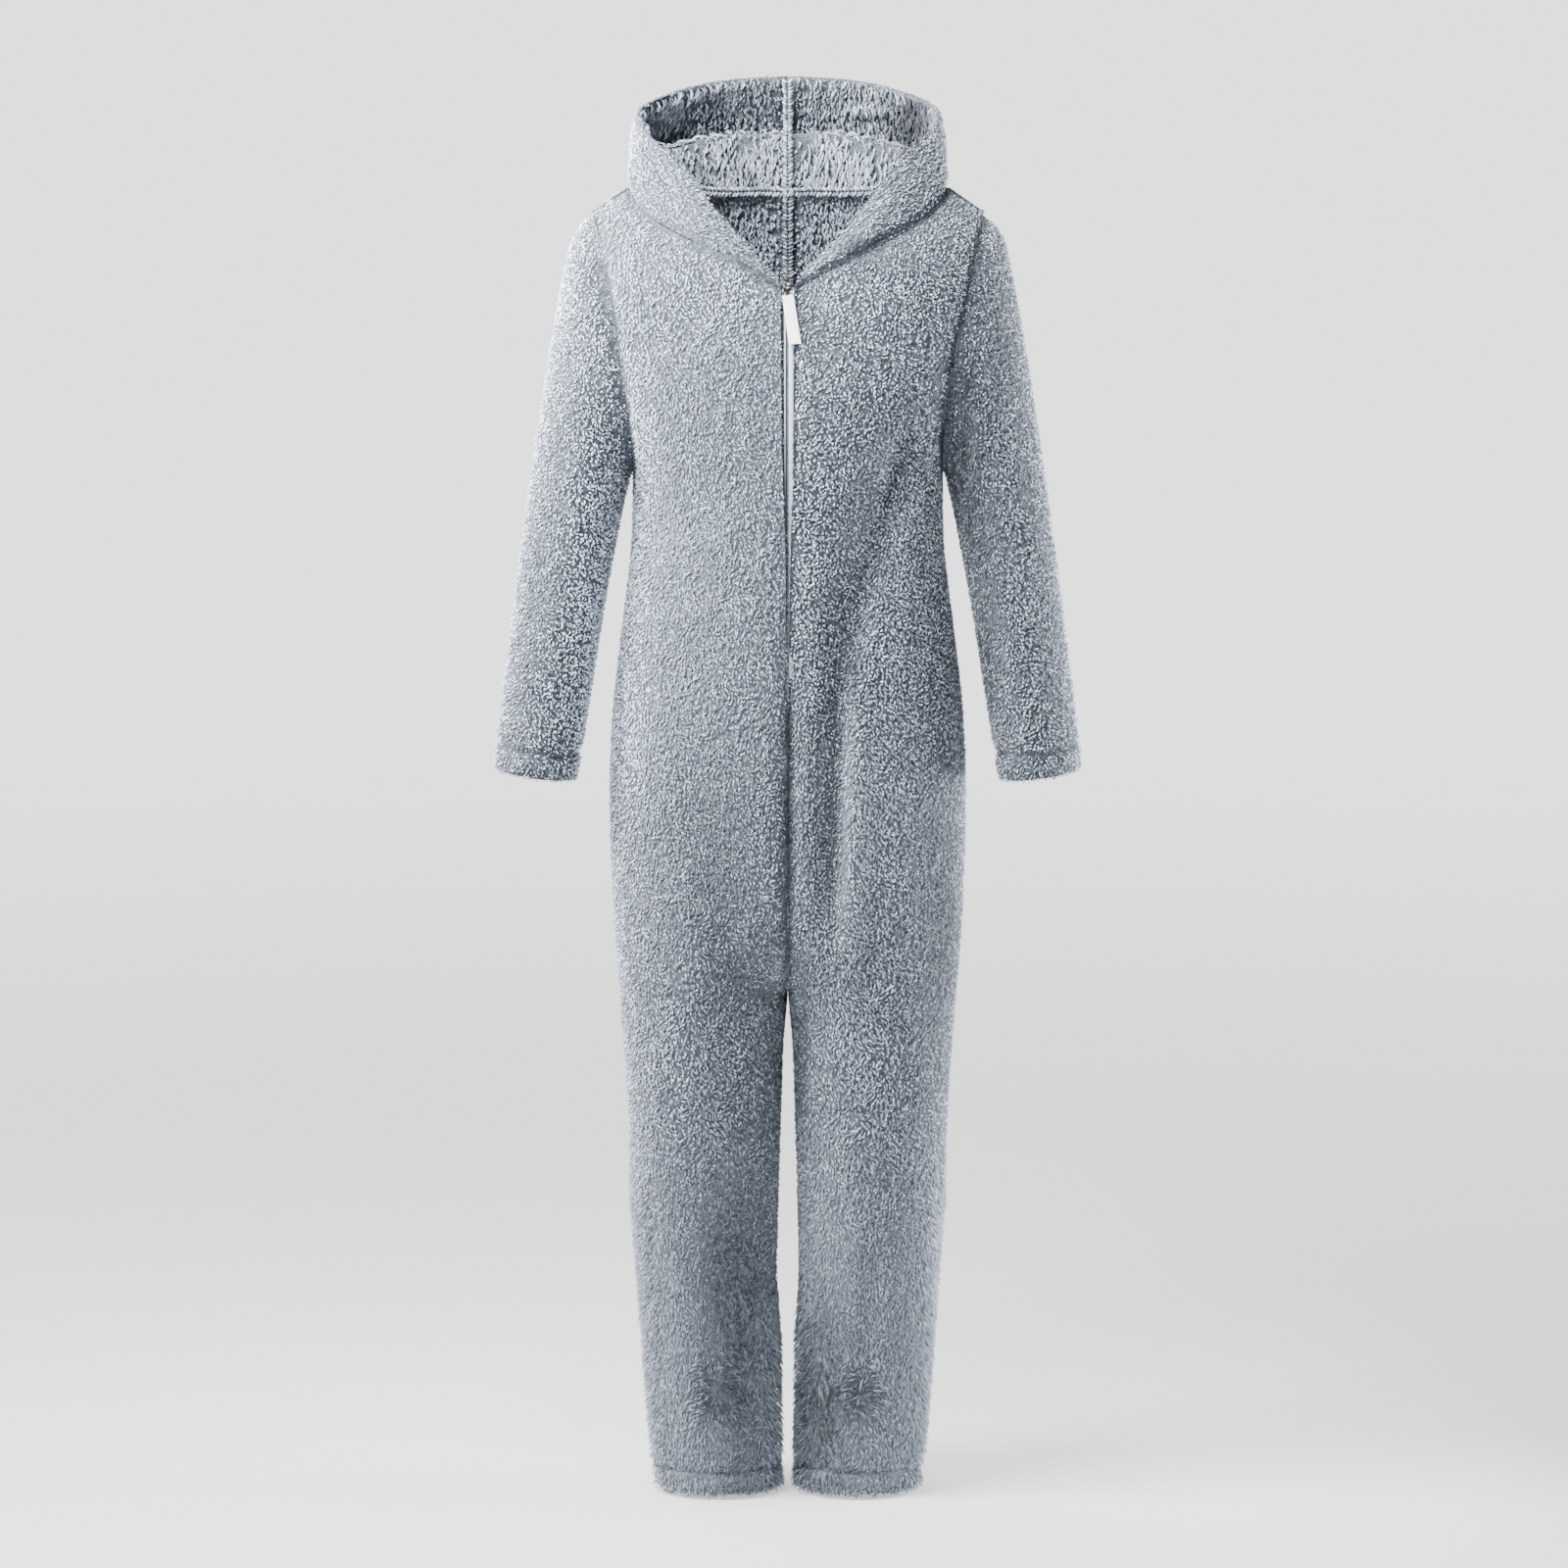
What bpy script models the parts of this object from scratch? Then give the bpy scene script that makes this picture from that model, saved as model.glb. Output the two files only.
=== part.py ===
# A hooded plush onesie with a front zip, hollow and in its worn shape: open at the neck, the cuffs
# and the leg hems, with its hood down. Metres, +Z up. The wearer faces -Y, so the wearer's left
# is +X. The origin is between the shoulders, level with the outer ends of the shoulder seams.

import math

import bmesh
import bpy
import numpy as np


def table(columns, *rows):
    """A table with named columns, as a dict of arrays. Its first column increases."""
    return dict(zip(columns.split(), np.array(rows, float).T))


# Driving dimensions
WALL = 0.0055  # plush cloth, backing and pile together
SEAM_GAP = 0.0003  # between two pieces at a seam
MITRE_LEAST = 0.4  # keeps the corner of a piece from being pulled in too far
SEAM_EASE = 0.012  # distance from the neck seam over which the hood's wall turns
EASE_ROUNDS = 1  # times that the hood wall's direction is evened out over its folds
RIM_ORDER = np.array([0.0, 0.37, 1.0])  # a point is lower than another by this measure
ARMPIT = 0.298  # each of these four is a distance below the origin
RISE = 0.720  # where the centre seams begin to curve in
CROTCH = 0.885
HEM = 1.441
SQUARE = 2.3  # exponent of the body's rounded sections, 2 for an ellipse
SHOULDER_TIP = (0.217, 0.0, -0.004)
ARMHOLE_FRONT = 0.088  # how far the armhole reaches forward of the shoulder seam
ARMHOLE_BACK = 0.092
ARMHOLE_BOW = 0.008  # how far its middle curves towards the neck

# Cells of the panels' grids
ACROSS = 12  # centre line or inseam to side seam
NECKLINE = 8  # along the neckline of one panel
CHEST = 8  # zip top to armpit
TORSO = 12  # armpit to where the centre seams curve in
SEAT = 5  # from there to the crotch
SEAT_CLOSER = 1.6  # exponent that sets the seat's levels closer towards the crotch
LEG = 10
SLEEVE = 13
HOOD_DEEP = 20  # neck seam to face edge
FINE = 200  # points that stand in for a smooth curve while it is measured
BEND = 9  # points round a half circle
SHARP = math.radians(50)  # edges over this angle aren't shaded smooth

# Half of the body by level: side seam's x and y, depths in front of and behind the side seam,
# how far the section has become a leg's own tube, and the leg's inner edge
BODY = table(
    "down width side front back leg inner",
    (0.298, 0.172, 0.000, 0.132, 0.112, 0.00, 0.0000),
    (0.381, 0.174, 0.000, 0.130, 0.109, 0.00, 0.0000),
    (0.469, 0.185, 0.000, 0.128, 0.113, 0.00, 0.0000),
    (0.557, 0.195, 0.000, 0.129, 0.124, 0.00, 0.0000),
    (0.645, 0.199, 0.000, 0.131, 0.136, 0.00, 0.0000),
    (0.720, 0.198, 0.001, 0.130, 0.141, 0.00, 0.0000),
    (0.770, 0.196, 0.001, 0.128, 0.139, 0.26, 0.0000),
    (0.820, 0.193, 0.003, 0.122, 0.134, 0.64, 0.0000),
    (0.856, 0.190, 0.004, 0.117, 0.127, 0.91, 0.0000),
    (0.885, 0.188, 0.005, 0.113, 0.120, 1.00, 0.0000),
    (0.920, 0.185, 0.006, 0.108, 0.113, 1.00, 0.0040),
    (0.980, 0.181, 0.008, 0.103, 0.105, 1.00, 0.0060),
    (1.087, 0.175, 0.011, 0.097, 0.097, 1.00, 0.0093),
    (1.197, 0.165, 0.014, 0.090, 0.090, 1.00, 0.0122),
    (1.307, 0.157, 0.017, 0.083, 0.085, 1.00, 0.0120),
    (1.410, 0.149, 0.020, 0.078, 0.080, 1.00, 0.0104),
    (1.441, 0.145, 0.020, 0.076, 0.078, 1.00, 0.0100),
)

# Depth of the centre line above the armpits
CENTRE_FRONT = table(
    "down y", (0.0785, -0.0905), (0.120, -0.104), (0.180, -0.120), (0.240, -0.129), (0.298, -0.132)
)
CENTRE_BACK = table(
    "down y", (-0.006, 0.100), (0.050, 0.114), (0.120, 0.122), (0.210, 0.120), (0.298, 0.112)
)

# How far the front edge stands from the centre line along the zip
ZIP_EDGE = table(
    "down x",
    (0.0785, 0.0078), (0.200, 0.0068), (0.290, 0.0056), (0.340, 0.0034), (0.430, 0.0018),
    (0.500, 0.0008), (0.540, 0.0000),
)  # fmt: skip

# Half of the neck, from the zip top (share 0) by the shoulder seam (0.5) to the centre back (1):
# the neck seam, the hood's face edge, and how far the hood bulges out between them
NECK = table(
    "share x y z edge_x edge_y edge_z bulge",
    (0.000, 0.0078, -0.0905, -0.0785, 0.0098, -0.0910, -0.0705, 0.0010),
    (0.125, 0.0600, -0.0905, -0.0500, 0.0460, -0.0820, -0.0320, 0.0060),
    (0.250, 0.1040, -0.0770, -0.0290, 0.0780, -0.0660, 0.0030, 0.0100),
    (0.375, 0.1519, -0.0430, -0.0070, 0.1110, -0.0400, 0.0440, 0.0076),
    (0.500, 0.1797, 0.0000, 0.0225, 0.1528, -0.0050, 0.0790, 0.0073),
    (0.625, 0.1525, 0.0450, 0.0200, 0.1704, 0.0400, 0.0990, 0.0073),
    (0.750, 0.1134, 0.0780, 0.0120, 0.1530, 0.0850, 0.1110, 0.0054),
    (0.875, 0.0580, 0.0950, 0.0075, 0.0890, 0.1370, 0.1260, 0.0000),
    (1.000, 0.0000, 0.1000, 0.0060, 0.0000, 0.1520, 0.1305, 0.0000),
    (1.125, -0.0580, 0.0950, 0.0075, -0.0890, 0.1370, 0.1260, 0.0000),
)

# The hood at the centre back, as it departs from a straight line between neck seam and face
# edge: up the neck, over a fold, down into the pouch and up its outer wall
POUCH = table(
    "share out up",
    (0.00, 0.000, 0.000), (0.10, 0.000, 0.025), (0.20, 0.008, 0.041), (0.28, 0.018, 0.017),
    (0.40, 0.023, -0.070), (0.52, 0.024, -0.140), (0.60, 0.037, -0.171), (0.68, 0.051, -0.161),
    (0.80, 0.050, -0.111), (0.90, 0.032, -0.048), (1.00, 0.000, 0.000),
)  # fmt: skip
HOOD_SEAMS = {"hood_left": 0, "hood_right": -1}  # the neck seam's column in each half's grid
FOLD_END = 0.28  # share of the hood's depth that stands up behind the neck
FOLD_FROM = {"left": 0.557, "right": 0.533}  # share of the neck where the standing fold begins
FOLD_GROWS = 0.362  # share of the neck over which it reaches its height
SPREAD_FIRST = 0.13  # share of the neck by which the hood spreads before it folds
SPREAD_SIDEWAYS = 0.215  # how much of its spread backwards it has sideways
FOLD_BLEND = 0.16  # share of the hood's depth over which the fold turns into the pouch
POUCH_FROM = 0.541  # share of the neck where the pouch begins
POUCH_GROWS = 0.469

# Sleeve rings: upper and lower point seen from the front, half depth and middle from the side
SLEEVE_RINGS = table(
    "ring top_x top_z low_x low_z deep y",
    (0, 0.2170, -0.004, 0.1720, -0.298, 0.090, 0.000),
    (1, 0.2365, -0.028, 0.1745, -0.304, 0.088, 0.000),
    (2, 0.2442, -0.050, 0.1760, -0.309, 0.086, 0.000),
    (3, 0.2545, -0.105, 0.1785, -0.317, 0.083, -0.001),
    (4, 0.2675, -0.180, 0.1815, -0.330, 0.080, -0.003),
    (5, 0.2795, -0.257, 0.1855, -0.350, 0.077, -0.006),
    (6, 0.2905, -0.333, 0.1920, -0.382, 0.074, -0.010),
    (7, 0.3005, -0.408, 0.2000, -0.425, 0.070, -0.015),
    (8, 0.3095, -0.478, 0.2090, -0.480, 0.065, -0.021),
    (9, 0.3180, -0.544, 0.2180, -0.540, 0.060, -0.028),
    (10, 0.3250, -0.596, 0.2280, -0.600, 0.056, -0.034),
    (11, 0.3265, -0.619, 0.2325, -0.632, 0.054, -0.037),
)

# Soft folds, from one point to another as seen from the front or the back, fading at both ends.
# A negative depth is a ridge. faces is -1 for the front and 1 for the back.
FOLD_FACING = 0.7  # a fold has its full depth where the cloth faces that way by this much
FOLD_FADE = 0.3  # share of its length over which a fold fades
FOLDS = table(
    "faces x1 z1 x2 z2 depth width",
    (-1, 0.000, -0.260, 0.000, -0.900, 0.0040, 0.012),
    (-1, 0.150, -0.180, 0.020, -0.540, 0.0150, 0.026),
    (-1, 0.036, -0.460, 0.046, -0.860, 0.0110, 0.018),
    (-1, 0.082, -0.500, 0.056, -0.900, -0.0080, 0.022),
    (-1, -0.160, -0.330, -0.030, -0.360, 0.0060, 0.016),
    (-1, -0.165, -0.400, -0.050, -0.390, 0.0050, 0.014),
    (-1, -0.120, -0.580, -0.045, -0.880, 0.0080, 0.022),
    (-1, -0.140, -0.960, -0.130, -1.330, -0.0060, 0.022),
    (-1, 0.075, -0.960, 0.060, -1.340, -0.0060, 0.020),
    (-1, 0.280, -0.400, 0.210, -0.310, 0.0070, 0.016),
    (-1, 0.270, -0.180, 0.215, -0.400, 0.0060, 0.018),
    (-1, -0.300, -0.420, -0.230, -0.360, 0.0060, 0.015),
    (1, 0.150, -0.280, 0.010, -0.460, 0.0090, 0.024),
    (1, -0.160, -0.300, -0.020, -0.500, 0.0100, 0.024),
    (1, 0.120, -0.720, 0.040, -0.920, 0.0090, 0.020),
    (1, -0.120, -0.730, -0.045, -0.910, 0.0080, 0.020),
    (1, 0.030, -1.120, 0.140, -1.170, 0.0070, 0.018),
    (1, -0.030, -1.140, -0.140, -1.110, 0.0070, 0.018),
    (1, 0.310, -0.440, 0.220, -0.390, 0.0080, 0.016),
    (1, -0.310, -0.420, -0.225, -0.450, 0.0080, 0.016),
)

# Zip. Depths are measured in from the cloth's outer face, and lengths down along the chest.
ZIP_BOTTOM = 0.515  # below the origin
TAPE_UNDER = 0.009  # how far a tape reaches in behind the cloth
TAPE_THICK = 0.0012
TAPE_GAP = 0.0008  # behind the cloth, and between the two tapes
SLIDER_TOP = 0.0745  # below the origin
SLIDER = table("down half", (0, 0.0034), (0.0022, 0.0053), (0.0060, 0.0055), (0.0120, 0.0034))
SLIDER_THICK = 0.0022
SLIDER_BEVEL = 0.0004
BAIL_WIDE = 0.0020
BAIL_LONG = 0.0080
BAIL_OPEN = 0.0020  # room under it for the link's wire
BAIL_THICK = 0.0011
LINK_WIRE = 0.0006  # radius
LINK_TOP_WIDE = 0.0090
LINK_WIDE = 0.0162
LINK_LONG = 0.0125
LINK_SQUARE = 0.25  # exponent of its outline, 1 for an ellipse and 0 for a rectangle
LINK_POINTS = 32
TAB_TOP_WIDE = 0.0124
TAB_END_WIDE = 0.0138
TAB_LONG = 0.0525
TAB_BACK_LONG = 0.0485  # its hidden layer
TAB_THICK = 0.0007  # one layer of the folded strap
TAB_LEAN = math.radians(8.5)  # lower end towards +X
TAB_OUT = 0.0026  # from the cloth's outer face to between the two layers
TAB_CLEAR = 0.0003  # round the link's wire
TAB_SLIT = 0.0001  # half the space between the two layers
TAB_NECK = 0.0050  # below the wire, where the layers meet

COLOURS = {
    "cloth": ((0.42, 0.48, 0.56), 0.95, 0.0),
    "tape": ((0.74, 0.78, 0.84), 0.80, 0.0),
    "metal": ((0.48, 0.46, 0.44), 0.30, 1.0),
    "pull": ((0.90, 0.90, 0.91), 0.60, 0.0),
}


def smooth(stations, values, at):
    """The value at one station on a smooth curve through the values."""
    slopes = np.gradient(values, stations, axis=0)
    i = int(np.clip(np.searchsorted(stations, at, side="right") - 1, 0, len(stations) - 2))
    span = stations[i + 1] - stations[i]
    t = (at - stations[i]) / span
    return (
        (2 * t**3 - 3 * t**2 + 1) * values[i]
        + (t**3 - 2 * t**2 + t) * span * slopes[i]
        + (3 * t**2 - 2 * t**3) * values[i + 1]
        + (t**3 - t**2) * span * slopes[i + 1]
    )


def read(rows, at):
    """Every column of a table at one value of its first column."""
    first, *names = rows
    return {name: smooth(rows[first], rows[name], at) for name in names}


def ramp(at, start, length):
    """0 before start, 1 after start + length, smooth between."""
    t = min(max((at - start) / length, 0.0), 1.0)
    return t * t * (3 - 2 * t)


def power(value, exponent):
    return np.sign(value) * np.abs(value) ** exponent


def evenly(points, cells):
    """The same curve, with points an even distance apart."""
    length = np.concatenate([[0], np.cumsum(np.linalg.norm(np.diff(points, axis=0), axis=1))])
    at = np.linspace(0, length[-1], cells + 1)
    return np.stack([np.interp(at, length, axis) for axis in points.T], axis=1)


def level(down, face, inner):
    """Points across half of the body at one level, from its inner edge to the side seam."""
    row = read(BODY, down)
    centre = min(row["leg"], 1.0) * (row["width"] + inner) / 2
    reach = row["width"] - centre
    start = math.acos(np.clip(power((inner - centre) / reach, SQUARE / 2), -1, 1))
    angle = np.linspace(start, 0, FINE)
    forward = -row["front"] if face == "front" else row["back"]
    x = centre + reach * power(np.cos(angle), 2 / SQUARE)
    y = row["side"] + forward * np.abs(np.sin(angle)) ** (2 / SQUARE)
    return evenly(np.stack([x, y, np.full(len(angle), -down)], axis=1), ACROSS)


def inner_edge(down, face):
    """x of the centre line, where the zip parts it, or of the inseam."""
    if down > CROTCH:
        return read(BODY, down)["inner"]
    if face == "front" and down < ZIP_EDGE["down"][-1]:
        return read(ZIP_EDGE, down)["x"]
    return 0.0


def neck(share):
    """Neck seam, face edge and bulge of the hood, at one share of the way round."""
    row = read(NECK, share)
    seam = np.array([row["x"], row["y"], row["z"]])
    edge = np.array([row["edge_x"], row["edge_y"], row["edge_z"]])
    return seam, edge, row["bulge"]


def armhole(face):
    """The armhole's edge, from the shoulder tip to the armpit."""
    top = np.array(SHOULDER_TIP)
    low = level(ARMPIT, face, 0.0)[-1]
    deep = -ARMHOLE_FRONT if face == "front" else ARMHOLE_BACK
    angle = np.linspace(0, math.pi, NECKLINE + CHEST + 1)[:, None]
    bulge = np.sin(angle) * np.array([-ARMHOLE_BOW, deep, 0.0])
    return (top + low) / 2 + (top - low) / 2 * np.cos(angle) + bulge


def centre_line(face):
    """Neckline from the shoulder seam to the centre, then the centre line to the armpit level."""
    turn = np.linspace(0.5, 0.0 if face == "front" else 1.0, NECKLINE + 1)
    neckline = [neck(share)[0] for share in turn]
    rows = CENTRE_FRONT if face == "front" else CENTRE_BACK
    downs = np.linspace(rows["down"][0], ARMPIT, CHEST + 1)[1:]
    return np.array(neckline + [[inner_edge(d, face), read(rows, d)["y"], -d] for d in downs])


def panel(face):
    """One panel, shoulder seam to leg hem, rows downwards and columns out to the side seam."""
    inner, outer = centre_line(face), armhole(face)
    top = np.linspace(inner[0], outer[0], ACROSS + 1)
    bottom = level(ARMPIT, face, inner_edge(ARMPIT, face))
    across = np.linspace(0, 1, ACROSS + 1)[None, :, None]
    along = np.linspace(0, 1, NECKLINE + CHEST + 1)[:, None, None]
    upper = (
        (1 - along) * top
        + along * bottom
        + (1 - across) * inner[:, None]
        + across * outer[:, None]
        - (1 - along) * ((1 - across) * top[0] + across * top[-1])
        - along * ((1 - across) * bottom[0] + across * bottom[-1])
    )
    curved = CROTCH - (CROTCH - RISE) * np.linspace(1, 0, SEAT + 1) ** SEAT_CLOSER
    downs = np.concatenate(
        [
            np.linspace(ARMPIT, RISE, TORSO + 1)[1:],
            curved[1:],
            np.linspace(CROTCH, HEM, LEG + 1)[1:],
        ]
    )
    lower = [level(d, face, inner_edge(d, face)) for d in downs]
    return np.concatenate([upper, lower])


def sleeve():
    """Rings from the armhole to the cuff, each from the top round the front and up the back."""
    front, back = armhole("front"), armhole("back")
    rings = [np.concatenate([front, back[-2::-1]])]
    half = NECKLINE + CHEST
    angle = np.linspace(0, 2 * math.pi, 2 * half + 1)[:, None]
    for at in np.linspace(0, SLEEVE_RINGS["ring"][-1], SLEEVE + 1)[1:]:
        row = read(SLEEVE_RINGS, at)
        top = np.array([row["top_x"], row["y"], row["top_z"]])
        low = np.array([row["low_x"], row["y"], row["low_z"]])
        deep = np.array([0.0, -row["deep"], 0.0])
        rings.append((top + low) / 2 + (top - low) / 2 * np.cos(angle) + deep * np.sin(angle))
    return np.array(rings)


def hood(side):
    """Sections of one half of the hood, zip top to centre back, each from neck to face edge."""
    fine = np.linspace(0, 1, FINE)
    seam, edge, _ = neck(1.0)
    rows = [read(POUCH, t) for t in fine]
    profile = np.array([[0.0, row["out"], row["up"]] for row in rows])
    profile += fine[:, None] * (edge - seam)
    length = np.concatenate([[0], np.cumsum(np.linalg.norm(np.diff(profile, axis=0), axis=1))])
    shares = np.interp(np.linspace(0, length[-1], HOOD_DEEP + 1), length, fine)
    wide, deep = NECK["x"].max(), NECK["y"].max()
    sections = []
    for around in np.linspace(0, 1, 2 * NECKLINE + 1):
        seam, edge, bulge = neck(around)
        out = np.array([seam[0] / wide**2, seam[1] / deep**2, 0.0])
        out /= np.linalg.norm(out)
        spread = ramp(around, FOLD_FROM[side] - SPREAD_FIRST, FOLD_GROWS)
        spread *= np.array([SPREAD_SIDEWAYS, 1, 0])
        standing = ramp(around, FOLD_FROM[side], FOLD_GROWS)
        hanging = ramp(around, POUCH_FROM, POUCH_GROWS)
        section = []
        for t in shares:
            row = read(POUCH, t)
            past = ramp(t, FOLD_END - FOLD_BLEND / 2, FOLD_BLEND)
            share = standing * (1 - past) + hanging * past
            offset = out * (bulge * math.sin(math.pi * t) + spread * row["out"])
            section.append(seam + (edge - seam) * t + offset + [0, 0, share * row["up"]])
        sections.append(section)
    return np.array(sections)


def mirrored(grid):
    return grid[:, ::-1] * [-1, 1, 1]


def keys(points):
    return [tuple(point) for point in np.round(points.reshape(-1, 3), 6).tolist()]


def shared_normals(grids):
    """Outward normals of every grid's points, the same for all pieces that meet at a point."""
    total = {}
    for grid in grids.values():
        corners = [grid[:-1, :-1], grid[1:, :-1], grid[1:, 1:], grid[:-1, 1:]]
        for i, corner in enumerate(corners):
            ahead, behind = corners[(i + 1) % 4] - corner, corners[i - 1] - corner
            square = np.cross(ahead, behind)
            size = np.linalg.norm(square, axis=2, keepdims=True)
            angle = np.arctan2(size, np.sum(ahead * behind, axis=2, keepdims=True))
            square *= angle / np.maximum(size, 1e-12)
            for key, value in zip(keys(corner), square.reshape(-1, 3)):
                total[key] = total.get(key, 0) + value
    normals = {}
    for name, grid in grids.items():
        values = np.array([total[key] for key in keys(grid)]).reshape(grid.shape)
        length = np.linalg.norm(values, axis=2, keepdims=True)
        normals[name] = values / np.maximum(length, 1e-9)
    return normals


def eased(grid, normals, seam):
    """Normals that turn slowly over tight folds, and away from a seam, column 0 or -1."""
    steps = np.linalg.norm(np.diff(grid, axis=1), axis=2)
    away = np.concatenate([np.zeros((len(grid), 1)), np.cumsum(steps, axis=1)], axis=1)
    away = np.abs(away - away[:, seam, None])
    share = np.clip(away / SEAM_EASE, 0, 1)[..., None]
    mixed = normals[:, seam, None] * (1 - share) + normals * share
    for _ in range(EASE_ROUNDS):
        beside = mixed[1:-1, :-2] + mixed[1:-1, 2:] + mixed[:-2, 1:-1] + mixed[2:, 1:-1]
        mixed[1:-1, 1:-1] = (mixed[1:-1, 1:-1] + beside) / 5
    return mixed / np.linalg.norm(mixed, axis=2, keepdims=True)


def fold_depth(points, normals):
    """How far the folds push each point in."""
    depth = np.zeros(points.shape[:2])
    for i in range(len(FOLDS["x1"])):
        row = {name: column[i] for name, column in FOLDS.items()}
        start = np.array([row["x1"], row["z1"]])
        way = np.array([row["x2"], row["z2"]]) - start
        from_start = points[:, :, [0, 2]] - start
        along = np.clip(from_start @ way / (way @ way), 0, 1)
        away = np.linalg.norm(from_start - along[..., None] * way, axis=2)
        facing = np.clip(row["faces"] * normals[:, :, 1] / FOLD_FACING, 0, 1)
        fade = np.clip(np.minimum(along, 1 - along) / FOLD_FADE, 0, 1)
        fade = fade * fade * (3 - 2 * fade)
        depth += row["depth"] * facing * fade * np.exp(-((away / row["width"]) ** 2))
    return depth


def seam_shift(grid, normals, closed):
    """What moves a piece's edges half a seam gap into it, square to the rims of its wall."""
    rows, columns = grid.shape[:2]
    if closed:
        loops = [
            [(0, c) for c in range(columns)],
            [(rows - 1, c) for c in reversed(range(columns))],
        ]
    else:
        loop = [(0, c) for c in range(columns - 1)]
        loop += [(r, columns - 1) for r in range(rows - 1)]
        loop += [(rows - 1, c) for c in range(columns - 1, 0, -1)]
        loop += [(r, 0) for r in range(rows - 1, -1, -1)]
        loops = [loop]
    shift = np.zeros(grid.shape)
    for loop in loops:
        at = tuple(np.array(loop).T)
        way = np.diff(grid[at], axis=0)
        into = np.cross(way, normals[at][:-1] + normals[at][1:])
        into /= np.linalg.norm(into, axis=1, keepdims=True)
        before = np.roll(into, 1, axis=0)
        sharpness = np.maximum(1 + np.sum(before * into, axis=1), MITRE_LEAST)
        mitre = (before + into) / sharpness[:, None]
        for place, move in zip(loop[:-1], mitre):
            shift[place] = move * SEAM_GAP / 2
        shift[loop[-1]] = shift[loop[0]]
    return shift


def material(kind):
    made = bpy.data.materials.get(kind) or bpy.data.materials.new(kind)
    made.use_nodes = True
    shader = made.node_tree.nodes["Principled BSDF"]
    colour, rough, metallic = COLOURS[kind]
    shader.inputs["Base Color"].default_value = (*colour, 1)
    shader.inputs["Roughness"].default_value = rough
    shader.inputs["Metallic"].default_value = metallic
    made.diffuse_color = (*colour, 1)
    return made


def add_object(name, mesh, kind):
    mesh.materials.append(material(kind))
    made = bpy.data.objects.new(name, mesh)
    bpy.context.scene.collection.objects.link(made)
    return made


def add_wall(name, outer, inner, kind, closed=False):
    """A solid between two grids of points. closed joins the first column to the last."""
    rows, columns = outer.shape[:2]
    if closed:
        columns -= 1
    points = np.concatenate([outer[:, :columns].reshape(-1, 3), inner[:, :columns].reshape(-1, 3)])
    back = rows * columns

    def at(r, c):
        return r * columns + c % columns

    faces = []
    steps = columns if closed else columns - 1
    for r in range(rows - 1):
        for c in range(steps):
            quad = [at(r, c), at(r + 1, c), at(r + 1, c + 1), at(r, c + 1)]
            faces += [quad, [back + i for i in reversed(quad)]]
    rim = [(at(0, c), at(0, c + 1)) for c in range(steps)]
    rim += [(at(rows - 1, c + 1), at(rows - 1, c)) for c in range(steps)]
    if not closed:
        rim += [(at(r + 1, 0), at(r, 0)) for r in range(rows - 1)]
        rim += [(at(r, columns - 1), at(r + 1, columns - 1)) for r in range(rows - 1)]
    for a, b in rim:
        # Two pieces that meet split each rim quad the same way, from its lower outer point.
        if points[a] @ RIM_ORDER < points[b] @ RIM_ORDER:
            faces += [[a, b, back + b], [a, back + b, back + a]]
        else:
            faces += [[a, b, back + a], [b, back + b, back + a]]
    mesh = bpy.data.meshes.new(name)
    mesh.from_pydata(points.tolist(), [], faces)
    mesh.shade_smooth()
    mesh.set_sharp_from_angle(angle=SHARP)
    return add_object(name, mesh, kind)


def build_cloth():
    """All cloth pieces. Returns the front panels' outer and inner grids."""
    front, back, arm = panel("front"), panel("back"), sleeve()
    grids = {
        "front_left": front,
        "front_right": mirrored(front),
        "back_left": back[:, ::-1],
        "back_right": mirrored(back[:, ::-1]),
        "sleeve_left": arm[:, ::-1],
        "sleeve_right": mirrored(arm[:, ::-1]),
        "hood_left": hood("left"),
        "hood_right": mirrored(hood("right")),
    }
    normals = shared_normals(grids)
    for name, grid in grids.items():
        grids[name] = grid - normals[name] * fold_depth(grid, normals[name])[..., None]
    normals = shared_normals(grids)
    walls = {}
    for name, grid in grids.items():
        closed = name.startswith("sleeve")
        outer = grid + seam_shift(grid, normals[name], closed)
        inner = outer - normals[name] * WALL
        if name in HOOD_SEAMS:
            inner = outer - eased(grid, normals[name], HOOD_SEAMS[name]) * WALL
        add_wall(name, outer, inner, "cloth", closed)
        walls[name] = (outer, inner)
    return walls


def build_tape(name, outer, inner):
    """One zip tape, laid along the inside of a front edge, from that panel's own points."""
    last = int(np.sum(outer[:, 0, 2] > -ZIP_BOTTOM))
    rows = slice(NECKLINE, last)
    edge, beside = inner[rows, 0], inner[rows, 1]
    in_way = edge - outer[rows, 0]
    in_way /= np.linalg.norm(in_way, axis=1, keepdims=True)
    out_way = beside - edge
    out_way /= np.linalg.norm(out_way, axis=1, keepdims=True)
    side = np.sign(out_way[0, 0])
    middle = edge.copy()
    middle[:, 0] = side * TAPE_GAP / 2
    strip = np.stack([middle, edge, edge + out_way * TAPE_UNDER], axis=1)
    if side < 0:
        strip = strip[:, ::-1]
    face = strip + in_way[:, None] * TAPE_GAP
    add_wall(name, face, face + in_way[:, None] * TAPE_THICK, "tape")
    return face[:2, 0]


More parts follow.
